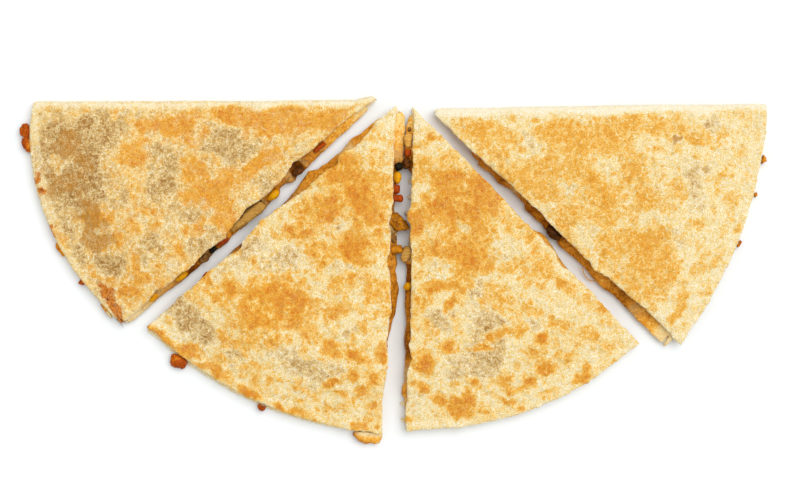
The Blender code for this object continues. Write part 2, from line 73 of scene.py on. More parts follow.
# The dough's own patterns, mm
SHEETS_APART = 60.0      # keeps the patterns of the top and of the underside unlike
BLISTERS_APART = 4.6
BLISTER_RADIUS = 1.5
SWELLS_APART = 9.0
WRINKLES_APART = 2.6
WRINKLE_HEIGHT = 0.22
GRAIN_SIZE = 1.6
GRAIN_HEIGHT = 0.055
SIDE_GRAIN_SIZE = 1.8    # of the torn crumb at a cut
SIDE_GRAIN_HEIGHT = 0.16
FOLD_START = 0.9         # the pale fold, dry dough with a painted highlight on it, is full this near the first side
FOLD_WIDTH = 3.6         # and fades out over this width
FOLD_GRAIN = 1.3         # width of the brown streaks along the fold
PALE_TIP = 12.0          # the dough stays pale this far from a wedge's tip
CRUMB_DEPTH = 3.5        # the crumb is palest this near a cut
CELL_SIZE = 3.6          # cells of dough, each browned in its own way
FLECK_SIZE = 1.3         # smaller cells in them
CELL_BEND = 1.8          # how crooked the veins between the cells are

# The cut sides and the filling, mm
EDGE_STEP = 0.8          # the edge of a piece is found once in each such length of a side
EDGE_STEPS = 260         # enough for the longest side
EDGE_DEPTH = 12.0        # points deeper in the wedge are no part of its edge
PUSH_REACH = 5.0         # a push on an edge fades out over this distance
TIP_REACH = 9.0          # the even meshing blunts a wedge's tip this far in
CORNER_REACH = 5.0       # and a rim corner this far
BITES_APART = 4.6        # along a torn edge
NICKS_APART = 1.5
SHEET_INSET = 0.8        # a bottom sheet ends this far inside the foot of the cheese
CHEESE_INSET = 0.6       # the cheese starts this far inside the top sheet's edge
HIDDEN_INSET = 0.7       # and ends this far inside it where none shows
CUT_DEPTH = 9.0          # the tones of a cut face reach this deep into the cheese
DRIP_START = 0.5         # cheese this far past the rim has run out
DRIP_PULL = 1.9          # what ran out shrank back this far
OOZE_SWELL = 1.2         # and where it stayed pale it is this much thicker
GOLDEN_START = 3.2       # there it is golden this far past the rim
CHEESE_FOOT = 0.1        # no cheese lies lower than this
SHEET_GAP = 0.4          # the cheese fills the gap between it and the sheets
POCKET_GAP = 0.28        # a piece in the filling fills the gap between it and the cheese
THREAD_RADIUS = 0.22

# The stage
FLOOR_REACH = 4.0                   # m; the floor runs this far each way
KEY_PLACE = (0.42, 0.34, 1.12)      # m; the main light shines from here to the origin
VIEW_CENTRE = (3.23, 10.27, 6.0)    # mm; the middle of the view, level with the food's top


def linear(hex_colour):
    """An sRGB hex colour as the linear values that Blender's colours hold."""
    values = [int(hex_colour[k:k + 2], 16) / 255.0 for k in (0, 2, 4)]
    return tuple(v / 12.92 if v <= 0.04045 else ((v + 0.055) / 1.055) ** 2.4 for v in values)


def colour_setting(name, description, hex_colour):
    return FloatVectorProperty(name=name, description=description, subtype="COLOR", size=3,
                               min=0.0, max=1.0, default=linear(hex_colour))


def length_setting(name, description, millimetres):
    return FloatProperty(name=name, description=description, default=millimetres * MM, min=0.0,
                         subtype="DISTANCE", unit="LENGTH")


class TortillaSettings(PropertyGroup):
    """Sizes and colours of the griddled flour tortilla."""
    mesh_size: length_setting("Mesh size", "Distance between points under the outer face", 0.9)
    blister: length_setting("Blister height", "Height of the tallest small blisters", 0.55)
    swell: length_setting("Swell", "Height of the soft unevenness between lumps", 0.36)
    scallop: length_setting("Torn edge", "Depth of the scallops along a cut edge", 0.45)
    # Flour is also the painted highlight along the fold
    flour: colour_setting("Flour", "Pale floury dough at the fold and blister edges", "E7E2D2")
    dough: colour_setting("Dough", "Cooked dough with no browning", "E4D2A6")
    moist: colour_setting("Moist dough", "Dough with a little moisture in it", "D0B684")
    damp: colour_setting("Damp dough", "Dough with the filling's moisture in it", "B7965F")
    grease: colour_setting("Greasy dough", "Dough with dark filling under it", "9B7039")
    gold: colour_setting("Gold", "First browning", "E3BB6C")
    toast: colour_setting("Toast", "Well browned dough", "DCA644")
    fried: colour_setting("Fried cheese", "Cheese fried on to the rim", "9F5311")
    crust: colour_setting("Crust", "Dark browning", "D59835")
    scorch: colour_setting("Scorch", "Darkest browning", "CB7E23")
    oil: colour_setting("Oiled dough", "Brown dough soaked with oil", "AC7727")
    crumb: colour_setting("Crumb", "Inside of the dough at a cut", "FFF0D4")
    char: colour_setting("Char", "Small burnt specks", "6E2705")
    grain: colour_setting("Flour grain", "Tint of the hollows between grains of flour", "F0D77C")


class CheeseSettings(PropertyGroup):
    """Sizes and colours of the melted cheese."""
    mesh_size: length_setting("Mesh size", "Distance between points", 0.8)
    ripple: length_setting("Ripple", "How uneven the cut cheese is", 0.5)
    pale: colour_setting("Pale cheese", "Melted cheese with no browning", "E3C784")
    golden: colour_setting("Golden cheese", "Melted cheese, barely browned", "E0A53D")
    melted: colour_setting("Melted cheese", "Cheese stained by the filling", "CF8729")
    browned: colour_setting("Browned cheese", "Cheese browned at a cut", "B06F17")
    dark: colour_setting("Dark cheese", "Cheese soaked with dark juice", "8C4C09")
    # The darkest cheese is partly its stain and partly painted shade in the deepest hollows
    darkest: colour_setting("Darkest cheese", "The deepest hollows", "643504")
    cream: colour_setting("Cream sauce", "Pale sauce in the cheese", "DBC798")
    tan: colour_setting("Tan sauce", "Sauce with the filling's juice in it", "C49F62")
    # Umber is partly the sauce's stain and partly painted shade in the hollows
    umber: colour_setting("Umber sauce", "Sauce in the hollows", "7D5829")
    fried: colour_setting("Fried cheese", "Cheese that ran out and fried", "A54908")
    orange: colour_setting("Orange cheese", "Cheese that only just fried", "CB801A")
    burnt: colour_setting("Burnt cheese", "Pits of the fried cheese", "803403")


class MorselSettings(PropertyGroup):
    """Sizes and colours of the pieces in the filling."""
    mesh_size: length_setting("Mesh size", "Distance between points", 0.3)
    corn: colour_setting("Corn", "Sweetcorn skin", "D99F0A")
    red_pepper: colour_setting("Red pepper", "Skin of cooked red pepper", "A64200")
    yellow_pepper: colour_setting("Yellow pepper", "Cooked yellow pepper", "A6680A")
    mushroom: colour_setting("Mushroom", "Fried mushroom", "865C29")
    meat: colour_setting("Meat", "Fried minced meat", "68390D")
    chicken: colour_setting("Chicken", "Fried chicken", "BE9148")
    olive: colour_setting("Olive", "Dark olive", "26200D")
    bean: colour_setting("Bean", "Black bean", "532C08")


class StageSettings(PropertyGroup):
    """Floor, light and camera."""
    camera_height: length_setting("Camera height", "Height of the camera over the food", 800.0)
    view_width: length_setting("View width", "Width that the camera sees at the food", 360.45)
    floor: colour_setting("Floor", "Colour of the floor", "E2E5E6")
    key_strength: FloatProperty(name="Key light", description="Strength of the main light",
                                default=2.08, min=0.0)
    softness: FloatProperty(name="Softness", description="Width of the main light in the sky",
                            default=math.radians(50.0), min=0.0, unit="ROTATION")
    sky: FloatProperty(name="Sky", description="Strength of the even light", default=0.75, min=0.0)


# ---------------------------------------------------------------- shape functions, millimetres

def smooth(value):
    """A value clipped to 0 and 1, with a level start and end to its rise."""
    value = np.clip(value, 0.0, 1.0)
    return value * value * (3.0 - 2.0 * value)


def lattice(x, y, z, seed):
    """A repeatable random value from -1 to 1 for each whole-number cell: its scrambled bits."""
    mixed = (x * 374761393 + y * 668265263 + z * 1440670441 + seed * 974634777) & 0x7FFFFFFF
    mixed = ((mixed ^ (mixed >> 13)) * 1274126177) & 0x7FFFFFFF
    return ((mixed ^ (mixed >> 15)) & 0xFFFF) / 32767.5 - 1.0


def cloud(points, size, seed):
    """Soft noise from -1 to 1 whose lumps are about size across."""
    place = points / size + seed * 17.31
    cell = np.floor(place).astype(np.int64)
    part = place - cell
    blend = part * part * (3.0 - 2.0 * part)
    total = 0.0
    for corner in range(8):
        step = (corner & 1, corner >> 1 & 1, corner >> 2 & 1)
        weight = 1.0
        for axis in range(3):
            share = blend[:, axis]
            weight = weight * (share if step[axis] else 1.0 - share)
        total = total + weight * lattice(cell[:, 0] + step[0], cell[:, 1] + step[1],
                                         cell[:, 2] + step[2], seed)
    return total


def rough(points, size, seed, layers=3):
    """Noise with finer noise on it, about -1 to 1."""
    total, share, reach = 0.0, 1.0, 0.0
    for layer in range(layers):
        total = total + share * cloud(points, size / 2 ** layer, seed + layer)
        reach += share
        share *= 0.5
    return 1.35 * total / reach


def nearest_centre(points, spacing, seed):
    """Distance to the nearest of many scattered centres, and a random value of that centre."""
    flat = points[:, :2] / spacing
    cell = np.floor(flat).astype(np.int64)
    best = np.full(len(points), np.inf)
    value = np.zeros(len(points))
    zero = np.zeros(len(points), np.int64)
    for dx in (-1, 0, 1):
        for dy in (-1, 0, 1):
            cx, cy = cell[:, 0] + dx, cell[:, 1] + dy
            px = cx + 0.5 + 0.42 * lattice(cx, cy, zero, seed)
            py = cy + 0.5 + 0.42 * lattice(cx, cy, zero + 1, seed)
            away = np.hypot(flat[:, 0] - px, flat[:, 1] - py)
            nearer = away < best
            best = np.where(nearer, away, best)
            value = np.where(nearer, lattice(cx, cy, zero + 2, seed), value)
    return best * spacing, value


def warped(points, size, reach, seed):
    """The points moved about by noise, so that what is drawn on them gets a ragged outline."""
    moved = points.copy()
    moved[:, 0] += reach * rough(points, size, seed, 2)
    moved[:, 1] += reach * rough(points, size, seed + 50, 2)
    return moved


def painted(points, marks):
    """Union of soft oval marks, 0 to 1. A mark is x, y, half length, half width, turn, depth."""
    left = np.ones(len(points))
    for x, y, long, wide, turn, depth in marks:
        cosine, sine = math.cos(math.radians(turn)), math.sin(math.radians(turn))
        dx, dy = points[:, 0] - x, points[:, 1] - y
        away = np.hypot((dx * cosine + dy * sine) / long, (dy * cosine - dx * sine) / wide)
        left = left * (1.0 - depth * smooth(1.5 - away))
    return 1.0 - left


@dataclass
class CutFace:
    """One cut side. Distances run along it from the tip; out counts from its straight line."""
    top: tuple              # (along, out) of the top sheet's edge
    wall: tuple             # (along, out) of the foot of the cheese under it
    tones: tuple            # (along, brownness, sauce) of the cheese


@dataclass
class Wedge:
    """One wedge: where its sides run, and the marks on its top."""
    name: str
    tip: tuple              # x, y
    start: float            # degrees; direction of its first side
    sweep: float            # degrees from there to its last side
    turn: int               # 1 where that goes anticlockwise, otherwise -1
    radius: float
    folded: bool            # its first side is a fold of one tortilla, not a cut
    seed: int
    toasted: tuple          # marks of browned dough
    damp: tuple             # marks of damp, greyish dough
    cuts: dict              # the cut faces, by side
    browning: float         # how browned the dough is all over
    dampness: float         # how damp it is all over
    oiled: tuple = ()       # marks of smooth brown dough
    crusted: tuple = ()     # marks of cheese that ran out and fried on to the rim
    scorching: float = 0.36     # how much darker the middle of a browned patch is
    pale_rim: float = 10.0      # mm; width of the paler band along the rim
    fold_tone: float = 0.0      # how browned the fold is; at 0 it is flour pale, partly a painted highlight
    fold_dryness_and_highlight: float = 0.8       # how much less damp the fold is than the rest: drier dough and a painted highlight

    def sides(self, points):
        """Distance from the tip, from the first side and from the other side."""
        dx, dy = points[:, 0] - self.tip[0], points[:, 1] - self.tip[1]
        away = np.hypot(dx, dy)
        angle = self.turn * (np.arctan2(dy, dx) - math.radians(self.start))
        angle = (angle + math.pi) % (2.0 * math.pi) - math.pi
        first = away * np.sin(angle)
        last = away * np.sin(math.radians(self.sweep) - angle)
        return away, first, last

    def side_angle(self, side):
        """Direction of a side from the tip, radians."""
        return math.radians(self.start + (self.turn * self.sweep if side == "last" else 0.0))

    def along_side(self, side, points):
        """Distance along a side from the tip, and how far outside its straight line."""
        angle = self.side_angle(side)
        dx, dy = points[:, 0] - self.tip[0], points[:, 1] - self.tip[1]
        out = self.outward(side)
        return dx * math.cos(angle) + dy * math.sin(angle), dx * out[0] + dy * out[1]

    def outward(self, side):
        """Unit direction square to a side, out of the wedge."""
        angle = self.side_angle(side)
        sign = -self.turn if side == "first" else self.turn
        return -math.sin(angle) * sign, math.cos(angle) * sign


LEFT_LAST = CutFace(
    top=((0, -2.5), (7, -3.5), (20, -4.5), (30, -4.1), (38, -3.7), (45, -4.1), (49, -5.1),
         (52, -4.2), (56, -2.7), (63, -2), (72, -1.9), (78, -2.9), (84, -1.6), (92, -0.4),
         (94, 1.1), (96, 0.6), (100, 0.1), (107, -0.2), (112, 0.5), (117, 0.7), (120, 0),
         (125, 0.3), (130, -0.2), (133, -1.5), (136, -0.7), (147, -0.1), (151, 0)),
    wall=((0, -1.8), (6, -1.8), (20, -1), (28, -1.1), (40, -0.4), (50, 0.1), (51.5, -0.1),
          (53.5, 1), (55.5, 1), (58, -0.5), (61, -0.7), (63, 1), (69, 1.4), (72, 2), (75, 1.2),
          (80, 0.7), (83, 1.8), (92, 1.6), (95, 2.6), (98, 2.3), (102, 1.8), (106, 2.6),
          (112, 2.3), (116, 2.3), (120, 2.4), (127, 2.1), (131, 1.5), (138, 1.4), (151, 1.5)),
    tones=((3, 0.05, 0.4), (13, 0.12, 0.2), (16, 0.18, 0), (24, 0.25, 0), (30, 0.32, 0),
           (34, 0.4, 0.3), (38, 0.5, 0.2), (42, 0.55, 0.2), (46, 0.6, 0.6), (48, 0.9, 0),
           (52, 0.95, 0), (54, 0.62, 0.6), (58, 0.6, 0.3), (62, 0.6, 0.1), (68, 0.75, 0),
           (72, 0.6, 0.8), (80, 0.55, 0.9), (83, 0.72, 0.8), (86, 0.62, 0.3), (90, 0.75, 0.1),
           (93, 0.45, 0), (96, 0.8, 0), (100, 0.85, 0.1), (104, 0.85, 0.5), (108, 0.65, 0.5),
           (112, 0.8, 0), (116, 0.95, 0), (122, 0.7, 0.2), (127, 0.55, 0.4), (132, 0.48, 0.5),
           (138, 0.5, 0.6), (142, 0.35, 0.9), (146, 0.2, 0.9), (150, 0.12, 0.9)))

MID_LEFT_FIRST = CutFace(
    top=((0, 0.2), (12, 0.6), (15, -0.5), (20, -1.2), (26, -1.5), (29, -1), (31, 0.3), (34, 0.2),
         (37, -2.3), (40, -1.5), (45, -0.8), (56, -1), (60, -0.6), (65, 0), (70, 1), (76, 1),
         (80, 1.9), (82, 1.3), (92, 0), (94, -1.6), (97, -1.4), (100, -0.2), (108, -0.4),
         (113, 0.3), (120, -0.3), (130, 0.5), (133, -0.2), (150, 0.2)),
    wall=((0, 0.4), (10, 1), (20, 1.4), (25, 2.3), (28, 1.9), (32, 1.4), (40, 1.6), (45, 2.1),
          (49, 4.3), (51, 3.6), (56, 2.7), (60, 1.3), (65, 0.8), (75, 1.2), (80, 2), (82, 1.3),
          (92, 0.1), (98, 0.4), (108, -0.4), (113, 0.3), (120, -0.3), (130, 0.5), (133, -0.2),
          (150, 0.2)),
    tones=((2, 0.3, 0), (14, 0.34, 0), (22, 0.42, 0), (28, 0.34, 0.6), (34, 0.38, 0.5),
           (36, 0.42, 0), (46, 0.42, 0), (50, 0.5, 0), (54, 0.42, 0), (58, 0.5, 0.4),
           (64, 0.6, 0.3), (70, 0.6, 0.4), (93, 0.8, 0), (98, 0.6, 0.3), (105, 0.5, 0.4),
           (115, 0.5, 0.2), (130, 0.45, 0.4), (147, 0.36, 0)))

MID_LEFT_LAST = CutFace(
    top=((0, 0.4), (10, 0), (26, -0.1), (34, 0.3), (48, 0.6), (52, -1), (58, 0), (66, 0),
         (70, -0.8), (73, -0.2), (78, 0.8), (93, 2.1), (95, 1.2), (102, 0.8), (108, 0.4),
         (114, 1.6), (121, 0.8), (132, -0.3), (147, -0.2)),
    wall=((0, 0.5), (2, 2.5), (4, 4), (10, 4.5), (18, 4.1), (24, 4.3), (27, 3), (30, 1.4),
          (42, 1.6), (46, 1), (50, 1.6), (54, 2.6), (66, 2.9), (71, 3.3), (74, 2.6), (79, 4),
          (82, 4.8), (87, 4.2), (94, 3.5), (97, 2.4), (103, 1.2), (107, 0.8), (114, 1.6),
          (121, 0.8), (132, -0.3), (147, -0.2)),
    tones=((2, 0.04, 0.1), (10, 0.08, 0), (16, 0.22, 0), (20, 0.34, 0.5), (24, 0.55, 0.4),
           (27, 0.75, 0.2), (34, 0.7, 0), (40, 0.65, 0), (50, 0.6, 0), (54, 0.42, 0.9),
           (58, 0.66, 0.8), (61, 0.54, 0.2), (66, 0.56, 0.2), (72, 0.54, 0.2), (78, 0.55, 0),
           (84, 0.64, 0), (94, 0.64, 0), (100, 0.5, 0.1), (108, 0.5, 0.2), (120, 0.45, 0.4),
           (140, 0.3, 0.5)))

MID_RIGHT_FIRST = CutFace(
    top=((0, -0.4), (22, 0.5), (32, 0.8), (75, 1), (92, 1.2), (95, 0), (98, -1), (101, 0.3),
         (107, 0.4), (114, 1.1), (122, 0.8), (145, 0.6)),
    wall=((0, -0.4), (22, 0.5), (32, 0.8), (75, 1), (78, 1.6), (81, 3.1), (85, 3), (89, 2.1),
          (95, 1.4), (99, 0.7), (107, 0.4), (114, 1.1), (122, 0.8), (145, 0.6)),
    tones=((0, 0.4, 0.2), (60, 0.42, 0.2), (78, 0.4, 0.2), (84, 0.36, 0.2), (92, 0.32, 0.3),
           (98, 0.36, 0.3), (105, 0.45, 0.3), (140, 0.4, 0.4)))

MID_RIGHT_LAST = CutFace(
    top=((0, -0.2), (5, -0.6), (28, -0.3), (44, -0.1), (46, 0.7), (48.5, 1.4), (51, 1.2),
         (53, 0.2), (60, -0.1), (65, -0.9), (90, -1.1), (104, -1), (107, -0.5), (113, -2),
         (115, -0.9), (120, -0.1), (130, -0.2), (138, 0.5), (146, 0.4)),
    wall=((0, 0.2), (4, 1.3), (9, 2.6), (19, 3), (26, 3.2), (28, 1.2), (30, -0.1), (44, -0.1),
          (46, 0.7), (48.5, 1.4), (51, 1.2), (53, 0.3), (62, 0.4), (70, 1.6), (74, 0.8),
          (79, 1), (81, 1.6), (90, 1.4), (97, 0.8), (101, 1.2), (105, 1.6), (110, 0.6),
          (120, 1.2), (124, 0.9), (126, 2.1), (130, 2.3), (131, 1.2), (138, 0.7), (146, 0.4)),
    tones=((3, 0.3, 0), (7, 0.14, 0.1), (10, 0.3, 0), (14, 0.36, 0.1), (19, 0.38, 0.1),
           (22, 0.85, 0), (27, 0.85, 0), (32, 0.6, 0.2), (58, 0.47, 0.3), (62, 0.47, 0.9),
           (67, 0.37, 0.9), (69, 0.37, 0), (71, 0.82, 0), (78, 0.77, 0), (84, 0.69, 0),
           (94, 0.59, 0), (104, 0.63, 0), (106, 0.87, 0.2), (108, 0.82, 0), (112, 0.77, 0),
           (114, 0.49, 0), (117, 0.42, 0.6), (122, 0.45, 0.8), (126, 0.33, 0.1),
           (130, 0.35, 0.2), (136, 0.4, 0.6), (145, 0.3, 0.8)))

RIGHT_LAST = CutFace(
    top=((0, 0), (5, 0.3), (20, 0.8), (27, 1), (60, 0.8), (70, 1.1), (80, 1.9), (90, 1.9),
         (97, 2.5), (99, 2.4), (103, 4), (105, 3), (110, 1.6), (117, 1.8), (130, 1.1),
         (145, 1.2), (150, 2.1), (154, 2.1)),
    wall=((0, 0), (20, 0.8), (26, 1), (28, 2), (32, 2.2), (32.5, 3.4), (35, 3.1), (40, 2.3),
          (45, 3.2), (50, 1.9), (60, 2.2), (62, 4), (68, 4), (72, 3.7), (75, 4.6), (82, 4.8),
          (84, 5.5), (90, 5.3), (100, 5.1), (105, 6.2), (113, 6.2), (118, 5.6), (126, 6.1),
          (135, 6.6), (149, 6.8)),
    tones=((5, 0.4, 0), (26, 0.48, 0), (32, 0.46, 0.1), (36, 0.48, 0.3), (40, 0.49, 0.2),
           (44, 0.69, 0), (48, 0.53, 0), (52, 0.41, 0.8), (56, 0.57, 0.3), (60, 0.67, 0),
           (66, 0.82, 0), (70, 0.57, 0), (74, 0.82, 0), (82, 0.72, 0), (86, 0.49, 0),
           (92, 0.53, 0), (100, 0.47, 0), (112, 0.43, 0), (118, 0.65, 0), (124, 0.62, 0.1),
           (128, 0.52, 0.5), (132, 0.37, 0.3), (137, 0.32, 0.1), (141, 0.18, 0.1),
           (146, 0.06, 0.5), (150, 0.04, 0.6)))

# The wedges. A mark on one is x, y, half length and half width in mm, turn in degrees, depth.

LEFT = Wedge(
    name="left", tip=(-4.195, 77.418), start=180.4, sweep=40.1, turn=1, radius=157.0,
    folded=True, seed=11,
    toasted=(
        (-114, 67, 6, 4, 0, 0.6), (-98, 67, 12, 5, 15, 0.85), (-72, 71, 11, 4, -10, 0.8),
        (-50, 68, 15, 7, 0, 0.85), (-27, 69, 9, 5, 30, 0.75), (-117, 54, 9, 7, 0, 0.62),
        (-89, 61, 8, 4, 0, 0.65), (-88, 47, 6, 6, 0, 0.75), (-60, 50, 8, 4, 30, 0.9),
        (-70, 43, 8, 4, 10, 0.75), (-84, 35, 13, 6, 10, 0.8), (-76, 27, 4, 7, 20, 0.75),
        (-86, 23, 5, 2.2, 70, 0.75), (-93, 20, 2, 3, 0, 0.7), (-107, 20, 4, 2.4, 0, 0.6),
        (-114, 28, 9, 2.2, -12, 0.5), (-123, 15, 2.2, 5, 10, 0.6), (-129, 27, 4, 3, 0, 0.55),
        (-95, 10, 2, 3, 20, 0.72), (-116.5, 3, 2, 7, 8, 0.8), (-114, -3, 4, 2.4, 0, 0.72),
        (-136, 1, 4, 2.2, -30, 0.66), (-128, -4, 4, 2.6, 0, 0.7), (-119, -9, 4, 3, -20, 0.85),
        (-103, -3, 6, 2.6, 30, 0.5), (-74, 20, 5, 3, 20, 0.6), (-148, 16, 2.4, 8, 28, 0.55),
        (-107, 9, 2, 2, 0, 0.5), (-118, 21, 3, 3, 0, 0.45), (-65, 60, 4, 3, 0, 0.55)),
    damp=(
        (-136, 61, 13, 10, 0, 0.75), (-138, 43, 10, 11, 0, 0.85), (-75, 58, 13, 6, -10, 0.55),
        (-104, 38, 6, 7, 0, 0.5), (-126, 4, 7, 6, -20, 0.8), (-152, 60, 8, 9, 0, 0.55),
        (-103, 52, 8, 7, 0, 0.45), (-85, 14, 9, 4, 35, 0.45), (-107, 12, 8, 5, 20, 0.45),
        (-125, 33, 10, 6, 0, 0.35), (-58, 40, 5, 4, 0, 0.4), (-92, 28, 9, 4, 0, 0.4),
        (-156, 40, 5, 20, 12, 0.65), (-146, 12, 5, 14, 32, 0.6), (-148, 34, 7, 8, 0, 0.5)),
    oiled=(
        (-149, 57, 8, 6, 0, 0.85), (-156, 44, 4, 3, 0, 0.5), (-148, 38, 8, 4, 20, 0.8),
        (-139, 45, 7, 9, 0, 0.5), (-138, 28, 7, 8, 10, 0.9), (-134, 17, 8, 6, -15, 0.95),
        (-145, 50, 13, 12, 0, 0.35)),
    crusted=(
        (-160, 43, 2.6, 1.6, -80, 1.0), (-158.6, 37, 1.6, 1.4, -70, 0.9),
        (-153.5, 19, 4, 1.0, -63, 0.8), (-129, -9, 5, 3.0, -60, 1.0),
        (-125, -17, 5.5, 2.2, -58, 1.0)),
    cuts={"last": LEFT_LAST}, browning=0.44, dampness=0.61, scorching=0.25, pale_rim=2.5,
    fold_tone=0.22, fold_dryness_and_highlight=0.25)

MID_LEFT = Wedge(
    name="mid_left", tip=(1.205, 75.068), start=221.6, sweep=45.96, turn=1, radius=147.5,
    folded=False, seed=23,
    toasted=(
        (-27, 45, 11, 6, 25, 0.76), (-17, 37, 11, 9, 10, 0.82), (-33, 28, 11, 7, 0, 0.78),
        (-12, 27, 7, 8, 0, 0.72), (-17, 12, 7, 9, 0, 0.72), (-42, 17, 6, 5, 0, 0.5),
        (-60, 20, 5, 3, 40, 0.6), (-33, 8, 7, 5, 0, 0.5), (-57, -11, 11, 8, 10, 0.86),
        (-44, -17, 8, 8, 0, 0.86), (-75, -8, 6, 6, 0, 0.7), (-63, -21, 9, 6, 0, 0.8),
        (-68, -31, 6, 4, 0, 0.6), (-77, -28, 3, 3, 0, 0.72), (-84, -3, 2.2, 3, 20, 0.85),
        (-89, -12, 4, 4, 0, 0.5), (-92, -36, 6, 4, 10, 0.85), (-106, -28, 10, 2.8, -42, 1.0),
        (-79, -45, 6, 3.2, -30, 0.9), (-66, -54, 7, 2.2, -30, 0.95), (-48, -62, 7, 1.8, -18, 0.9),
        (-36, -66, 4, 1.6, -18, 0.85), (-16, -70, 4.4, 1.6, -4, 0.9), (-7, -69, 2, 1.6, 0, 0.8),
        (-28, -49, 2.8, 2.3, 0, 1.0), (-24, -55, 2.4, 1.8, 0, 0.85), (-15, -53, 2, 2.4, 0, 0.7),
        (-9, -60, 2, 1.6, 30, 0.7), (-29, -61, 2, 2, 0, 0.8), (-43, -58, 2.6, 1.5, 0, 0.65),
        (-6, -36, 2.4, 4, 0, 0.85), (-16, -38, 5, 4, 0, 0.68), (-28, -35, 4, 5, 0, 0.6),
        (-18, -46, 4, 2.6, 0, 0.66), (-8, -47, 3, 2.4, 0, 0.6), (-13, -25, 2.4, 4, 10, 0.7),
        (-26, -17, 7, 4, 10, 0.6), (-22, -4, 5, 5, 0, 0.5), (-8, -8, 5, 5, 0, 0.55),
        (-37, -27, 3, 3, 0, 0.55), (-55, -31, 5, 4, 0, 0.5), (-8, 52, 4, 3, 0, 0.45),
        (-65, -46, 3, 2, -20, 0.5), (-88, -43, 4, 2, -25, 0.6)),
    damp=(
        (-96, -17, 10, 8, -30, 0.85), (-88, -26, 10, 7, -20, 0.85), (-50, 5, 12, 5, 10, 0.45),
        (-62, 12, 8, 5, 20, 0.5), (-20, -1, 5, 5, 0, 0.4), (-32, -44, 13, 7, 0, 0.55),
        (-47, -40, 10, 6, 0, 0.4), (-24, 21, 6, 4, 0, 0.4), (-22, -27, 8, 4, 0, 0.35),
        (-74, -36, 8, 3, -25, 0.5), (-68, 4, 4, 7, 0, 0.4), (-82, 0, 8, 5, 0, 0.35)),
    cuts={"first": MID_LEFT_FIRST, "last": MID_LEFT_LAST}, browning=0.30, dampness=0.33)

MID_RIGHT = Wedge(
    name="mid_right", tip=(8.675, 74.618), start=313.57, sweep=44.74, turn=-1, radius=146.5,
    folded=False, seed=37,
    toasted=(
        (12, 57, 5, 2, 20, 0.6), (19, 60, 4, 1.8, 0, 0.65), (25, 51, 4, 3, 20, 0.62),
        (30, 38, 17, 8, -35, 0.74), (44, 36, 7, 6, -45, 0.8), (36, 25, 13, 8, 0, 0.7),
        (14, 45, 5, 5, 0, 0.7), (20, 29, 8, 7, 0, 0.82), (11, 21, 4, 6, 0, 0.8),
        (29, 10, 13, 8, 0, 0.74), (37, 5, 8, 6, -20, 0.7), (14, 10, 5, 5, 0, 0.66),
        (20, -6, 8, 3.6, 10, 0.8), (32, -5, 5, 4, 0, 0.7), (12, -13, 4, 3, 0, 0.7),
        (25, -15, 2.4, 5, -25, 0.88), (45, -12, 7, 7, 0, 0.66), (54, 3, 7, 3.6, 10, 0.6),
        (68, 5, 5, 5, 0, 0.5), (76, -5, 5, 2.6, -30, 0.72), (63, -17, 5, 3, -35, 0.66),
        (72, -22, 2.2, 2, -30, 0.7), (56, -25, 2.4, 4, -20, 0.66), (48, -27, 6, 3, 10, 0.78),
        (41, -33, 7, 1.8, 5, 0.9), (67, -29, 3, 3.6, 0, 0.75), (62, -36, 4, 2.6, -30, 0.8),
        (68, -43, 3.6, 4.6, 10, 0.85), (80, -38, 3.6, 2.6, 0, 0.7), (92, -16, 4, 2.2, -35, 0.62),
        (88, -28, 3, 5, 30, 0.5), (96, -23, 2.6, 1.6, -30, 0.5), (24, -33, 3.6, 3.6, 0, 0.9),
        (12, -40, 4.6, 5, 0, 0.75), (8.5, -19, 2, 5, 0, 0.6), (16, -27, 4, 4, 0, 0.55),
        (13, -52, 4, 2.4, -20, 0.85), (20, -57, 3.4, 2.6, 0, 0.88), (30, -61, 8, 4, -12, 1.0),
        (34, -57, 3.6, 5, 0, 1.0), (50, -47, 3.4, 4.6, 10, 0.8), (62, -49, 4, 2.8, 30, 0.85),
        (55, -53, 4, 2, 10, 0.75), (52, -58, 2.6, 1.8, 0, 0.85), (58, -62, 2.2, 1.4, 0, 0.75),
        (68, -55, 4, 1.4, 15, 0.75), (84, -48, 4, 2.4, 30, 0.88), (87, -42, 2.6, 2.6, 0, 0.85),
        (7.5, -66, 2.4, 1.8, 0, 0.75), (37, -49, 2.8, 2.8, 0, 0.66), (99, -40, 1.4, 1, 30, 0.6)),
    damp=(
        (22, -22, 6, 7, 0, 0.85), (42, -22, 9, 10, 0, 0.8), (42, -36, 9, 8, 0, 0.95),
        (34, -44, 12, 5, -10, 0.7), (47, 9, 8, 5, 20, 0.4), (38, -8, 3, 6, -35, 0.7),
        (62, -22, 4, 3, 0, 0.6), (32, 20, 5, 3, -20, 0.8), (20, 5, 3.6, 4, 0, 0.75),
        (9, -58, 4, 8, 0, 0.4), (17, 33, 3, 3, 0, 0.4), (22, 41, 3, 4, 0, 0.3)),
    cuts={"first": MID_RIGHT_FIRST, "last": MID_RIGHT_LAST}, browning=0.26, dampness=0.22,
    pale_rim=24.0)

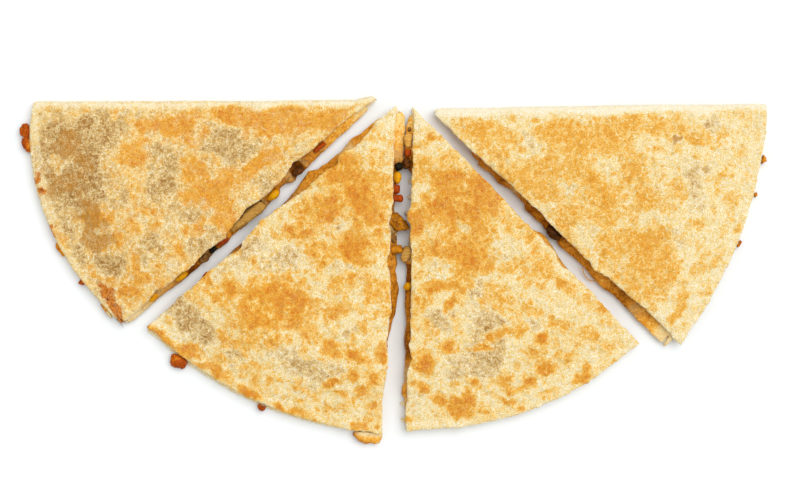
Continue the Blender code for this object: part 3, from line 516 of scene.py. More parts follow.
RIGHT = Wedge(
    name="right", tip=(16.505, 73.318), start=0.78, sweep=43.2, turn=-1, radius=151.5,
    folded=True, seed=53,
    toasted=(
        (43, 62, 9, 5, 0, 0.88), (33, 66, 6, 3, -25, 0.75), (48, 53, 4, 3, 0, 0.8),
        (56, 42, 7, 4, -40, 0.65), (74, 63, 11, 5, 0, 0.72), (84, 56, 11, 7, 0, 0.68),
        (99, 61, 10, 7, 0, 0.7), (108, 67, 5, 4, 0, 0.75), (118, 65, 5, 4, 0, 0.6),
        (66, 46, 11, 5, -10, 0.64), (68, 36, 10, 4, -15, 0.7), (85, 45, 8, 6, 0, 0.5),
        (107, 47, 6, 7, 0, 0.62), (95, 35, 12, 6, 0, 0.5), (113, 31, 5, 4, 0, 0.66),
        (78, 25, 6, 5, 0, 0.5), (95, 25, 8, 5, 0, 0.55), (97, 13, 7, 6, 0, 0.76),
        (116, 15, 11, 6, 0, 0.74), (112, 5, 11, 6, -20, 0.76), (123, 2, 6, 7, 0, 0.62),
        (116, -8, 7, 5, 0, 0.66), (106, -3, 3, 5, 0, 0.66), (127, 62, 5, 3, 0, 0.7),
        (138, 61, 5, 4, 0, 0.55), (130, 38, 4, 4, 0, 0.5), (147, 42, 4, 2.4, 35, 0.6),
        (152, 33, 4, 3, 0, 0.5), (137, 2, 4, 2.6, 0, 0.62), (145, 5, 2.4, 5, -20, 0.6),
        (138, 22, 3.4, 1.8, 0, 0.6), (130, -14, 7, 2, 55, 0.9), (125, -20, 3, 1.8, 35, 0.85),
        (141, -8, 3, 2, 40, 0.6), (155, 19, 3, 1.6, 50, 0.75), (167.6, 72, 1.6, 2, 0, 0.6),
        (157, 54, 4, 4, 0, 0.4), (148, 63, 2, 3, 0, 0.45), (131, 12, 1.4, 1.4, 0, 0.5)),
    damp=(
        (62, 57, 5, 4, -40, 0.75), (54, 48, 4, 4, 0, 0.55), (78, 38, 3, 7, -30, 0.7),
        (72, 29, 4, 4, 0, 0.5), (145, 65, 4, 5, 0, 0.8), (135, 45, 9, 8, -20, 0.75),
        (115, 25, 8, 5, 0, 0.4), (128, 17, 5, 5, 0, 0.7), (103, 3, 3, 4, 0, 0.55),
        (97, 43, 5, 4, 0, 0.4), (135, 31, 6, 6, 0, 0.65), (88, 17, 4, 6, 0, 0.4),
        (127, 58, 4, 3, 0, 1.0)),
    oiled=((127, 58, 3, 2.4, 0, 0.9),),
    cuts={"last": RIGHT_LAST}, browning=0.25, dampness=0.14, scorching=0.10, pale_rim=28.0)

WEDGES = (LEFT, MID_LEFT, MID_RIGHT, RIGHT)

# Marks on the cheese that ran out past the rims: where it stayed pale, and orange
OOZE = ((-9, -74, 9, 5, 0, 1.0), (-153, 19.5, 3, 3.4, 0, 1.0))
ORANGE = ((-150.5, 10, 5, 6, 0, 1.0), (-164, 54, 4, 4, 0, 0.8), (168, 51, 5, 5, 0, 1.0),
          (164.6, 35, 4, 4, 0, 1.0), (157, 12.5, 5, 5, 0, 0.7))

# Threads of cheese between the wedges: points along each
STRINGS = (
    ((85.2, 2.6, 3.4), (86.0, -0.6, 2.4), (88.4, -3.4, 2.0), (91.4, -4.0, 2.6), (93.4, -3.0, 3.4)),
    ((75.4, 4.2, 3.6), (77.0, 0.6, 2.6), (79.4, -2.0, 2.2), (81.6, -2.4, 2.8), (81.6, -3.4, 3.6)))

# Pieces in the filling that are paler or darker than their kind
BRIGHTNESS = {
    "chicken_mid_right_1": 1.45, "chicken_mid_right_2": 1.05, "corn_mid_left": 1.1,
    "mushroom_mid_left": 1.2, "mushroom_mid_right": 1.2, "orange_pepper_mid_left": 1.5,
    "yellow_pepper_mid_left": 1.3}


# ---------------------------------------------------------------- materials

FOOD_IOR = 1.45                    # water, oil and cooked starch lie near this
OILY_SPECULAR = 0.07               # low, or the even light would whiten the dark pieces
GRAIN_ROUGHNESS = 0.6              # of every noise: how strong its finer grain is
FACTOR, FIRST, SECOND = 0, 6, 7    # sockets of a Mix node that blends colours
MIXED = 2                          # and its output
COLOURS = {"data_type": "RGBA"}
SMOOTHSTEP = {"interpolation_type": "SMOOTHSTEP"}
SHIFT = {1: 0.25, 2: 0.75, 3: -1.0, 4: 1.0}    # spreads a noise's usual range over -1 to 1


def per_mm(size):
    """Scale of a pattern whose grains are this many millimetres."""
    return 1.0 / (size * MM)


def add_node(tree, kind, sockets=None, output=0, stops=(), **settings):
    """Add a node with its settings, its socket values or links and its ramp's stops.

    A colour is three linear values. Gives back the output to link on from.
    """
    node = tree.nodes.new("ShaderNode" + kind)
    for name, value in settings.items():
        setattr(node, name, value)
    for key, value in (sockets or {}).items():
        socket = node.inputs[key]
        if isinstance(value, NodeSocket):
            tree.links.new(value, socket)
        else:
            socket.default_value = (*value, 1.0) if socket.type == "RGBA" else value
    if stops:
        ramp = node.color_ramp.elements
        while len(ramp) < len(stops):
            ramp.new(1.0)
        for element, (position, colour) in zip(ramp, stops):
            element.position = position
            element.color = (*colour, 1.0)
    return node.outputs[output] if node.outputs else None


def new_material(name, attributes, noises, squeeze=1.0):
    """Start a material from the piece's own attributes and from noises on Object coordinates.

    A noise is its grain in millimetres, its detail and its distortion. squeeze narrows the
    grains along Y.
    """
    material = bpy.data.materials.new(name)
    material.use_nodes = True
    material.node_tree.nodes.clear()
    add = partial(add_node, material.node_tree)
    place = add("Mapping", {"Vector": add("TexCoord", output="Object"),
                            "Scale": (1.0, squeeze, 1.0)})
    stored = [add("Attribute", output="Fac", attribute_name=key) for key in attributes]
    grains = [add("TexNoise", {"Vector": place, "Scale": per_mm(size), "Detail": detail,
                               "Roughness": GRAIN_ROUGHNESS, "Distortion": distortion})
              for size, detail, distortion in noises]
    return material, add, place, stored, grains


def finish_material(add, colour, height, strength, relief, roughness, specular):
    """End a material with its shader; relief is the height of its bump in millimetres."""
    bump = add("Bump", {"Height": height, "Strength": strength, "Distance": relief * MM})
    shader = add("BsdfPrincipled", {"Base Color": colour, "Roughness": roughness, "Normal": bump,
                                    "IOR": FOOD_IOR, "Specular IOR Level": specular})
    add("OutputMaterial", {"Surface": shader})


def griddled_tortilla(look):
    """Wheat flour tortilla, rolled thin and browned in a little oil on a hot plate.

    The dough is matt and cream, browned in soft-edged patches, beige and crinkled where the
    filling made it damp, and floury on the thin skin round the blisters. The grain of the flour
    is too fine to show, so it is drawn half a millimetre coarse.
    """
    material, add, place, stored, noises = new_material(
        "griddled_flour_tortilla",
        ("toast", "damp", "oiled", "floury", "crumb", "fold", "crusted"),
        ((2.2, 3.0, 0.8), (0.95, 2.0, 0.4), (3.8, 2.0, 1.2), (1.8, 2.0, 1.2), (0.5, 1.0, 0.0),
         (1.5, 1.0, 0.0)))
    toast, damp, oiled, floury, crumb, fold, crusted = stored
    coarse, fine, wide_folds, thin_folds, flour, burnt = noises
    # Small cells of dough with crooked borders
    bend = add("TexNoise", {"Vector": place, "Scale": per_mm(2.2), "Detail": 3.0}, "Color")
    bent = add("VectorMath", {0: bend, 1: (CELL_BEND * MM,) * 3, 2: place},
               operation="MULTIPLY_ADD")
    cells, flecks = ({"Vector": bent, "Scale": per_mm(size)} for size in (CELL_SIZE, FLECK_SIZE))
    border = add("TexVoronoi", cells, "Distance", feature="DISTANCE_TO_EDGE")
    cell, fleck = (add("TexVoronoi", grid, "Color") for grid in (cells, flecks))
    # Thin crooked lines, where a noise crosses its middle
    lines = []
    for noise, width in ((wide_folds, 0.045), (thin_folds, 0.06)):
        off_middle = add("Math", {0: noise, 1: 0.5}, operation="SUBTRACT")
        away = add("Math", {0: off_middle}, operation="ABSOLUTE")
        lines.append(add("MapRange", {0: away, 1: width, 2: 0.0}, **SMOOTHSTEP))
    wide_lines, thin_lines = lines
    coarse_shift, fine_shift, cell_shift, fleck_shift = (
        add("MapRange", {0: noise, **SHIFT}) for noise in (coarse, fine, cell, fleck))
    wetness = add("Math", {0: coarse_shift, 1: 0.14, 2: damp}, operation="MULTIPLY_ADD")
    # Shares from 0 to 1: how far a value has come from the first number to the second
    (vein_line, vein_part, well_toasted, soaking, crisp, charred, wet_line, wet_calm, floury_grain,
     burnt_speck) = (
        add("MapRange", {0: value, 1: start, 2: end}, **SMOOTHSTEP) for value, start, end in (
            (border, 0.13, 0.0), (coarse, 0.36, 0.56), (toast, 0.25, 0.5), (wetness, 0.15, 0.78),
            (fine, 0.42, 0.62), (coarse, 0.58, 0.70), (wetness, 0.3, 0.8), (wetness, 0.3, 0.9),
            (flour, 0.36, 0.68), (burnt, 0.82, 0.88)))
    vein = add("Math", {0: vein_line, 1: vein_part}, operation="MULTIPLY")
    # Browning: livelier in the toasted patches, paler along the veins and on the thin skin
    skin = add("Math", {0: thin_lines, 1: 0.6}, operation="MULTIPLY")
    skin = add("Math", {0: wide_lines, 1: skin}, operation="MAXIMUM")
    skin = add("Math", {0: skin, 1: floury}, operation="MULTIPLY")
    mottled = add("Math", {0: cell_shift, 1: 0.07}, operation="MULTIPLY")
    mottled = add("Math", {0: fleck_shift, 1: 0.09, 2: mottled}, operation="MULTIPLY_ADD")
    lively = add("Math", {0: well_toasted, 1: 0.65, 2: 0.35}, operation="MULTIPLY_ADD")
    browned = toast
    for value, share in ((coarse_shift, 0.08), (mottled, lively), (vein, -0.20),
                         (fine_shift, 0.16), (skin, -0.20)):
        browned = add("Math", {0: value, 1: share, 2: browned}, operation="MULTIPLY_ADD")
    cooked = add("ValToRGB", {"Fac": browned}, stops=(
        (0.0, look.flour), (0.24, look.dough), (0.44, look.gold), (0.56, look.toast),
        (0.80, look.crust), (1.0, look.scorch)))
    # Damp dough: beige, with pale crinkles and darker hollows
    crinkles = add("Math", {0: wide_lines, 1: thin_lines}, operation="MAXIMUM")
    soaked = wetness
    for value, share in ((fine_shift, 0.12), (crinkles, -0.38), (vein, -0.32),
                         (fleck_shift, 0.12)):
        soaked = add("Math", {0: value, 1: share, 2: soaked}, operation="MULTIPLY_ADD")
    soaked = add("ValToRGB", {"Fac": soaked}, stops=(
        (0.0, look.flour), (0.30, look.moist), (0.60, look.damp), (0.95, look.grease)))
    # Cheese that fried on to the rim
    fried = add("Mix", {FACTOR: crisp, FIRST: look.scorch, SECOND: look.fried}, MIXED, **COLOURS)
    fried = add("Mix", {FACTOR: charred, FIRST: fried, SECOND: look.char}, MIXED, **COLOURS)
    # Thin pale skin in crooked lines
    pale = add("Math", {0: wide_lines, 1: wet_line}, operation="MULTIPLY")
    pale = add("Math", {0: skin, 1: pale}, operation="MAXIMUM")
    pale = add("Math", {0: pale, 1: 0.56}, operation="MULTIPLY")
    colour = cooked
    for share, over in ((soaking, soaked), (oiled, look.oil), (crumb, look.crumb),
                        (crusted, fried), (pale, look.dough)):
        colour = add("Mix", {FACTOR: share, FIRST: colour, SECOND: over}, MIXED, **COLOURS)
    # The flour's grain, which hardly shows at the fold, in a cut or where the dough is damp
    plain = add("Math", {0: fold, 1: crumb}, operation="MAXIMUM")
    grainy = add("Math", {0: wet_calm, 1: -0.45, 2: 1.0}, operation="MULTIPLY_ADD")
    grainy = add("Math", {0: plain, 1: -0.55, 2: grainy}, operation="MULTIPLY_ADD")
    grainy = add("Math", {0: grainy, 1: floury_grain}, operation="MULTIPLY")
    colour = add("Mix", {FACTOR: grainy, FIRST: colour, SECOND: look.grain}, MIXED,
                 blend_type="MULTIPLY", **COLOURS)
    colour = add("Mix", {FACTOR: burnt_speck, FIRST: colour, SECOND: look.char}, MIXED, **COLOURS)
    height = 0.0
    for value, share in ((coarse, 0.8), (fine, 0.5), (thin_lines, 0.25)):
        height = add("Math", {0: value, 1: share, 2: height}, operation="MULTIPLY_ADD")
    # Matt, and a little less so where oil soaked in
    roughness = add("Math", {0: oiled, 1: -0.2, 2: 0.70}, operation="MULTIPLY_ADD")
    finish_material(add, colour, height, strength=0.8, relief=0.35, roughness=roughness,
                    specular=0.15)
    return material


def melted_cheese(look):
    """Melted Cheddar-type cheese, set again as it cooled and fried dark where it ran out.

    It is smooth and oily: gold to deep brown at the cuts, with painted shade darkening their lowest
    part, cream to umber where it mixed with the sauce, and orange brown with small pits where it
    fried on the plate.
    """
    material, add, _, stored, noises = new_material(
        "melted_cheese", ("brown", "sauce", "fried"), ((2.0, 3.0, 0.6), (0.8, 2.0, 0.0)))
    brown, sauce, fried = stored
    coarse, fine = noises
    coarse_shift, fine_shift = (add("MapRange", {0: noise, **SHIFT}) for noise in noises)
    tone = add("Math", {0: coarse_shift, 1: 0.22, 2: brown}, operation="MULTIPLY_ADD")
    tone = add("Math", {0: fine_shift, 1: 0.22, 2: tone}, operation="MULTIPLY_ADD")
    saucy = add("Math", {0: coarse_shift, 1: 0.20, 2: sauce}, operation="MULTIPLY_ADD")
    pale = add("Math", {0: brown, 1: -1.0, 2: 0.5}, operation="MULTIPLY_ADD")
    pale = add("Math", {0: pale, 1: fine}, operation="ADD")
    # Shares from 0 to 1: how far a value has come from the first number to the second
    saucy, lightly_fried, orange = (
        add("MapRange", {0: value, 1: start, 2: end}, **SMOOTHSTEP)
        for value, start, end in ((saucy, 0.1, 0.8), (pale, 0.36, 0.60), (pale, 0.66, 0.90)))
    cheese = add("ValToRGB", {"Fac": tone}, stops=(
        (0.0, look.pale), (0.2, look.golden), (0.4, look.melted), (0.6, look.browned),
        (0.8, look.dark), (1.0, look.darkest)))
    sauces = add("ValToRGB", {"Fac": tone}, stops=(
        (0.0, look.cream), (0.45, look.tan), (0.9, look.umber)))
    crust = look.burnt
    for share, over in ((lightly_fried, look.fried), (orange, look.orange)):
        crust = add("Mix", {FACTOR: share, FIRST: crust, SECOND: over}, MIXED, **COLOURS)
    colour = cheese
    for share, over in ((saucy, sauces), (fried, crust)):
        colour = add("Mix", {FACTOR: share, FIRST: colour, SECOND: over}, MIXED, **COLOURS)
    height = add("Math", {0: fine, 1: 0.5, 2: coarse}, operation="MULTIPLY_ADD")
    finish_material(add, colour, height, strength=0.6, relief=0.3, roughness=0.48,
                    specular=OILY_SPECULAR)
    return material


def cooked_food(food, look):
    """A cooked piece: its own colour, darker in its folds and lighter in spots."""
    material, add, _, (brightness,), (coarse, fine) = new_material(
        food.material, ("brightness",),
        ((food.grain, 3.0, 0.6), (food.grain / 3.5, 2.0, 0.0)), food.squeeze)
    colour = linear(food.shade)
    for noise, start, end, over in ((coarse, 0.36, 0.66, getattr(look, food.slot)),
                                    (fine, 0.60, 0.80, linear(food.light))):
        share = add("MapRange", {0: noise, 1: start, 2: end}, **SMOOTHSTEP)
        colour = add("Mix", {FACTOR: share, FIRST: colour, SECOND: over}, MIXED, **COLOURS)
    colour = add("HueSaturation", {"Color": colour, "Value": brightness})
    height = add("Math", {0: fine, 1: 0.5, 2: coarse}, operation="MULTIPLY_ADD")
    finish_material(add, colour, height, strength=0.4, relief=0.2, roughness=food.roughness,
                    specular=OILY_SPECULAR)
    return material


# ---------------------------------------------------------------- pieces

@contextmanager
def edited(mesh):
    """The mesh as a bmesh, which is written back where the block ends."""
    bm = bmesh.new()
    bm.from_mesh(mesh)
    yield bm
    bm.to_mesh(mesh)
    bm.free()


def add_object(name, data):
    """A new object in the scene."""
    added = bpy.data.objects.new(name, data)
    bpy.context.scene.collection.objects.link(added)
    return added


def worked_out(source, name):
    """The mesh that an object's modifiers or curve make. The object itself is removed."""
    depsgraph = bpy.context.evaluated_depsgraph_get()
    mesh = bpy.data.meshes.new_from_object(source.evaluated_get(depsgraph))
    mesh.name = name
    bpy.data.objects.remove(source)
    return mesh


def fine_copy(node, name, spacing):
    """A closed copy of a frame solid with its points evenly this far apart."""
    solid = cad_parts[node].data.copy()
    solid.materials.clear()
    with edited(solid) as bm:
        bmesh.ops.remove_doubles(bm, verts=bm.verts[:], dist=WELD)
    rough_copy = add_object(name + "_rough", solid)
    remesh = rough_copy.modifiers.new("even", "REMESH")
    remesh.mode = "VOXEL"
    remesh.voxel_size = spacing
    even = worked_out(rough_copy, name)
    bpy.data.meshes.remove(solid)
    if not even.polygons:
        raise RuntimeError(f"no mesh came of {node}")
    return add_object(name, even)


def points_of(mesh):
    """Points and their normals; points in millimetres."""
    points = np.empty(len(mesh.vertices) * 3)
    normals = np.empty(len(mesh.vertices) * 3)
    mesh.vertices.foreach_get("co", points)
    mesh.vertex_normals.foreach_get("vector", normals)
    return points.reshape(-1, 3) / MM, normals.reshape(-1, 3)


def set_points(mesh, points):
    """Move the points to these places in millimetres."""
    mesh.vertices.foreach_set("co", (points * MM).ravel())
    mesh.update()


def store(mesh, name, values):
    """Keep one value for each point, for the material to read."""
    attribute = mesh.attributes.new(name, "FLOAT", "POINT")
    attribute.data.foreach_set("value", np.ascontiguousarray(values, dtype=np.float32))


def refine(mesh, chosen):
    """Halve the spacing of the points on the faces that chosen(centre, normal) picks."""
    with edited(mesh) as bm:
        edges = {edge for face in bm.faces
                 if chosen(face.calc_center_median() / MM, face.normal) for edge in face.edges}
        bmesh.ops.subdivide_edges(bm, edges=list(edges), cuts=1, use_grid_fill=True)


def soften(mesh, times):
    """Round off what the even meshing left angular."""
    with edited(mesh) as bm:
        for _ in range(times):
            bmesh.ops.smooth_vert(bm, verts=bm.verts[:], factor=0.5, use_axis_x=True,
                                  use_axis_y=True, use_axis_z=True)


def finish_piece(piece, node, material):
    """Give the piece its material and let it stand for its frame solid, where it has one."""
    piece.data.shade_smooth()
    piece.data.materials.clear()
    piece.data.materials.append(material)
    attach(piece, "root")
    if node:
        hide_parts(node)


def wedge_of(node):
    """The wedge whose name a node's name ends with; mid_left comes before left."""
    return max((wedge for wedge in WEDGES if node.endswith(wedge.name)),
               key=lambda wedge: len(wedge.name))


def own_edge(along, out, chosen):
    """How far out the chosen points reach, at each point's distance along the side."""
    step = np.clip(along / EDGE_STEP, 0, EDGE_STEPS).astype(int)
    edge = np.full(EDGE_STEPS + 1, -np.inf)
    chosen = chosen & (out > -EDGE_DEPTH) & (along > 0.0)
    np.maximum.at(edge, step[chosen], out[chosen])
    known = np.flatnonzero(np.isfinite(edge))
    if not len(known):
        return out
    return np.interp(along, (known + 0.5) * EDGE_STEP, edge[known])


def pushed(wedge, side, points, chosen, shift, own):
    """Move the chosen points near a side outward by shift, less and less away from the edge."""
    along, out = wedge.along_side(side, points)
    reach = PUSH_REACH + 1.5 * np.abs(shift)
    weight = smooth(1.0 - (own - out) / reach) * smooth((along - 0.3) / 2.5) * chosen
    moved = points.copy()
    moved[:, :2] += (shift * weight)[:, None] * np.array(wedge.outward(side))
    return moved


def outline(rows, along, column=1):
    """What this column of a cut face's rows says at each distance along it."""
    table = np.array(rows, dtype=float)
    return np.interp(along, table[:, 0], table[:, column])


def tear_edges(wedge, points, depth):
    """Bring the sheets' cut edges to their outlines, with small bites and nicks."""
    for side, face in wedge.cuts.items():
        along, out = wedge.along_side(side, points)
        # The second column keeps the noises of the two sides unlike
        line = np.column_stack((along, np.full(len(along), 3.0 if side == "first" else 9.0),
                                points[:, 2] / 3.0))
        bites = np.abs(cloud(line, BITES_APART, wedge.seed))
        nicks = cloud(line, NICKS_APART, wedge.seed + 5)
        torn = depth * (0.4 - 1.2 * bites + 0.5 * nicks) * smooth((along - 4.0) / 8.0)
        top, wall = outline(face.top, along), outline(face.wall, along)
        upper = points[:, 2] > SHEET_SPLIT
        under = np.minimum(wall - SHEET_INSET, np.maximum(wall, top) - 0.3)
        target = np.where(upper, top, under)
        own = np.where(upper, own_edge(along, out, upper), own_edge(along, out, ~upper))
        points = pushed(wedge, side, points, True, target + torn - own, own)
    return points


def sharpen_corners(wedge, points):
    """Push the tip and the rim corners back out to where the even meshing cut them off."""
    away, first, last = wedge.sides(points)
    middle = math.radians(wedge.start + wedge.turn * wedge.sweep / 2)
    moved = points.copy()
    tip = np.clip(1.0 - away / TIP_REACH, 0.0, 1.0) ** 2
    push = 1.0 if wedge.folded else 2.3
    moved[:, 0] -= push * tip * math.cos(middle)
    moved[:, 1] -= push * tip * math.sin(middle)
    near_rim = smooth(1.0 - (wedge.radius - away) / CORNER_REACH)
    radial = (points[:, :2] - np.array(wedge.tip)) / np.maximum(away, 1.0)[:, None]
    for side, distance in (("first", first), ("last", last)):
        if side in wedge.cuts:
            corner = near_rim * smooth(1.0 - distance / CORNER_REACH)
            moved[:, :2] += 0.7 * corner[:, None] * (radial + np.array(wedge.outward(side)))
    return moved


def survey(wedge, points, normals):
    """What both the shape and the browning of a tortilla piece are worked out from.

    top, under and fold are shares from 0 to 1 of lying on the griddled faces and on the fold,
    side is the share of facing sideways, and cut is the distance from the nearest cut.
    """
    away, first, last = wedge.sides(points)
    flat = points.copy()
    flat[:, 2] = SHEETS_APART * (points[:, 2] > PATTERN_SPLIT)
    fold = np.zeros(len(points))
    cut = np.abs(last)
    if wedge.folded:
        wander = 1.3 * cloud(points, 11.0, wedge.seed + 3) + 0.6 * cloud(points, 3.0, 4)
        fold = 1.0 - smooth((first - FOLD_START + wander) / FOLD_WIDTH)
    else:
        cut = np.minimum(cut, np.abs(first))
    # Blisters, each of its own size, and wrinkles along crooked lines
    distance, value = nearest_centre(warped(flat, 3.0, 0.5, wedge.seed), BLISTERS_APART,
                                     wedge.seed)
    radius = BLISTER_RADIUS + 0.9 * value
    raised = np.clip(1.0 - (distance / radius) ** 2, 0.0, 1.0) ** 1.4 * (value > -0.35)
    creases = cloud(warped(flat, 4.0, 1.2, wedge.seed + 26), WRINKLES_APART, wedge.seed + 27)
    return SimpleNamespace(
        away=away, cut=cut, flat=flat, fold=fold, raised=raised,
        wrinkled=(1.0 - np.abs(creases)) ** 6,
        top=smooth((normals[:, 2] - 0.2) / 0.3) * (points[:, 2] > TOP_LEVEL),
        under=smooth((-normals[:, 2] - 0.2) / 0.3) * (points[:, 2] < UNDER_LEVEL),
        side=1.0 - np.abs(normals[:, 2]))


def blistered(wedge, points, normals, dough, look):
    """The points of a tortilla piece with blisters, swells, wrinkles and torn cut edges."""
    seed = wedge.seed
    swell = cloud(dough.flat, SWELLS_APART, seed + 1) + 0.5 * cloud(dough.flat, 4.0, seed + 2)
    grain = cloud(dough.flat, GRAIN_SIZE, seed + 4) + 0.7 * cloud(dough.flat, 0.8, seed + 6)
    lift = (look.blister * dough.raised + look.swell * swell) / MM
    lift += GRAIN_HEIGHT * grain + WRINKLE_HEIGHT * dough.wrinkled
    lift *= 1.0 - 0.55 * dough.fold
    moved = points + normals * (dough.top * lift)[:, None]
    sink = 0.25 + 0.2 * swell - 0.15 * dough.raised
    moved[:, 2] += dough.under * np.clip(sink, 0.0, 0.5) * 0.6
    rugged = SIDE_GRAIN_HEIGHT * cloud(points, SIDE_GRAIN_SIZE, seed + 7)
    rugged *= smooth(dough.side * 1.4)
    moved[:, :2] += normals[:, :2] * rugged[:, None]
    moved = tear_edges(wedge, sharpen_corners(wedge, moved), look.scallop / MM)
    moved[:, 2] = np.maximum(moved[:, 2], 0.0)
    return moved


def store_browning(mesh, wedge, points, dough):
    """Keep how toasted, damp, oiled, floury and crusted each point of a tortilla piece is."""
    seed, flat, fold = wedge.seed, dough.flat, dough.fold
    rim = smooth((dough.away - wedge.radius) / wedge.pale_rim + 1.0)
    pale_tip = smooth(1.6 - dough.away / PALE_TIP)
    # The marks, with ragged outlines; the underside has soft clouds of them instead
    upper = points[:, 2] > PATTERN_SPLIT
    ragged = warped(warped(flat, 6.0, 1.9, seed + 8), 2.0, 0.8, seed + 9)
    browned = np.where(upper, painted(ragged, wedge.toasted), 0.42 + 0.5 * rough(flat, 22.0, 5))
    torn = warped(warped(flat, 9.0, 3.4, seed + 40), 3.0, 1.6, seed + 41)
    damp = np.where(upper, painted(torn, wedge.damp), 0.3 + 0.4 * rough(flat, 15.0, 8))
    oiled = np.where(upper, painted(torn, wedge.oiled), 0.0)
    crusted = painted(warped(points, 2.4, 1.5, seed + 30), wedge.crusted)
    coarse = rough(flat, 6.5, seed + 10)
    medium = rough(flat, 4.0, seed + 12, 2)
    small = cloud(warped(flat, 2.0, 0.6, seed + 17), 1.8, seed + 18)
    # Small round spots: how far apart, how wide and how brown
    crooked = warped(flat, 2.6, 0.9, seed + 21)
    spots = 0.0
    for spacing, reach, depth in ((7.5, 1.7, 0.30), (3.6, 0.8, 0.20)):
        distance, value = nearest_centre(crooked, spacing, seed + 20)
        spot = smooth(1.4 - distance / (reach * (1.0 + 0.5 * value)))
        spots = spots + depth * spot * (value > -0.1)
    # Marks, noises and spots add up to a mass, and two steps of it make the browned patches
    mass = wedge.browning + 0.66 * browned + 0.20 * coarse + 0.18 * medium + 0.12 * small
    mass += spots * (1.0 - 0.7 * browned) - 0.22 * damp * (1.0 - browned)
    patches = 0.24 * smooth((mass - 0.24) / 0.20) + wedge.scorching * smooth((mass - 0.60) / 0.30)
    toast = 0.22 + 0.10 * mass + patches - 0.10 * np.clip(damp, 0.0, 1.0)
    toast *= 1.0 - 0.34 * rim * (1.0 - browned)
    toast -= 0.16 * pale_tip
    # The fold: dry dough that missed the pan, drawn paler still as a painted highlight, with brown
    # streaks along it
    streak = cloud(points * np.array([0.09, 1.0, 1.0]), FOLD_GRAIN, seed + 31)
    toast += fold * (wedge.fold_tone + 0.11 * streak - toast)
    # The crumb shows where a face is neither griddled nor level
    outer = np.maximum(dough.top, dough.under)
    crumb = 0.75 + 0.25 * smooth((CRUMB_DEPTH - dough.cut) / 1.5)
    crumb *= (1.0 - outer) * smooth(dough.side * 2.0)
    # Damp dough stays away from browned patches, blisters and the tip; oil keeps off wrinkles
    moist = wedge.dampness + 0.53 * damp + 0.22 * rough(flat, 4.0, seed + 16) + 0.10 * small
    moist = moist - 0.12 * dough.raised - 0.85 * patches - 0.30 * pale_tip
    seep = oiled + 0.30 * medium + 0.26 * small - 0.16 * dough.wrinkled
    floury = 0.62 + 0.5 * rough(flat, 13.0, seed + 14) + 0.3 * fold
    for name, values in (
            ("toast", np.clip(toast * (0.25 + 0.75 * outer), 0.0, 1.2)),
            ("damp", moist * (1.0 - wedge.fold_dryness_and_highlight * fold) * (1.0 - 0.35 * rim)),
            ("oiled", smooth((seep - 0.34) / 0.46) * dough.top * 0.80),
            ("floury", np.clip(floury, 0.0, 1.0) * (1.0 - 0.5 * browned)),
            ("crusted", smooth((crusted + 0.3 * small - 0.25) / 0.35)),
            ("crumb", crumb), ("fold", fold)):
        store(mesh, name, values)


class QUESADILLA_OT_tortillas(Operator):
    """Make the griddled tortillas of all four wedges"""
    bl_idname = "quesadilla.tortillas"
    bl_label = "Tortillas"

    def execute(self, context):
        look = context.scene.quesadilla_tortilla
        material = griddled_tortilla(look)
        for node in ("tortilla_left", "tortilla_right", "top_sheet_mid_left",
                     "bottom_sheet_mid_left", "top_sheet_mid_right", "bottom_sheet_mid_right"):
            wedge = wedge_of(node)
            piece = fine_copy(node, "griddled_" + node, look.mesh_size)
            soften(piece.data, 2)
            if not node.startswith("bottom"):
                refine(piece.data, lambda centre, normal: centre.z > TOP_LEVEL and normal.z > 0.2)
            points, normals = points_of(piece.data)
            dough = survey(wedge, points, normals)
            store_browning(piece.data, wedge, points, dough)
            set_points(piece.data, blistered(wedge, points, normals, dough, look))
            finish_piece(piece, node, material)
        return {"FINISHED"}


def slope_wall(wedge, points):
    """Bring the cheese's cut faces to a slope from the top sheet's edge out to their foot."""
    for side, face in wedge.cuts.items():
        along, out = wedge.along_side(side, points)
        inside = wedge.sides(points)[0] < wedge.radius - 1.0
        near = inside & (out > own_edge(along, out, inside) - 2.0)
        ceiling = own_edge(along, points[:, 2], near)
        floor = -own_edge(along, -points[:, 2], near)
        level = np.clip((points[:, 2] - floor) / np.maximum(ceiling - floor, 0.8), 0.0, 1.0)
        low = own_edge(along, out, inside & (level < 0.25))
        high = own_edge(along, out, inside & (level > 0.75))
        own = low + (high - low) * level
        top, wall = outline(face.top, along), outline(face.wall, along)
        head = top - CHEESE_INSET
        foot = wall - HIDDEN_INSET * (1.0 - smooth((wall - top) / 0.6))
        target = head + (foot - head) * smooth(1.15 - level)
        points = pushed(wedge, side, points, inside, target - own, own)
    return points


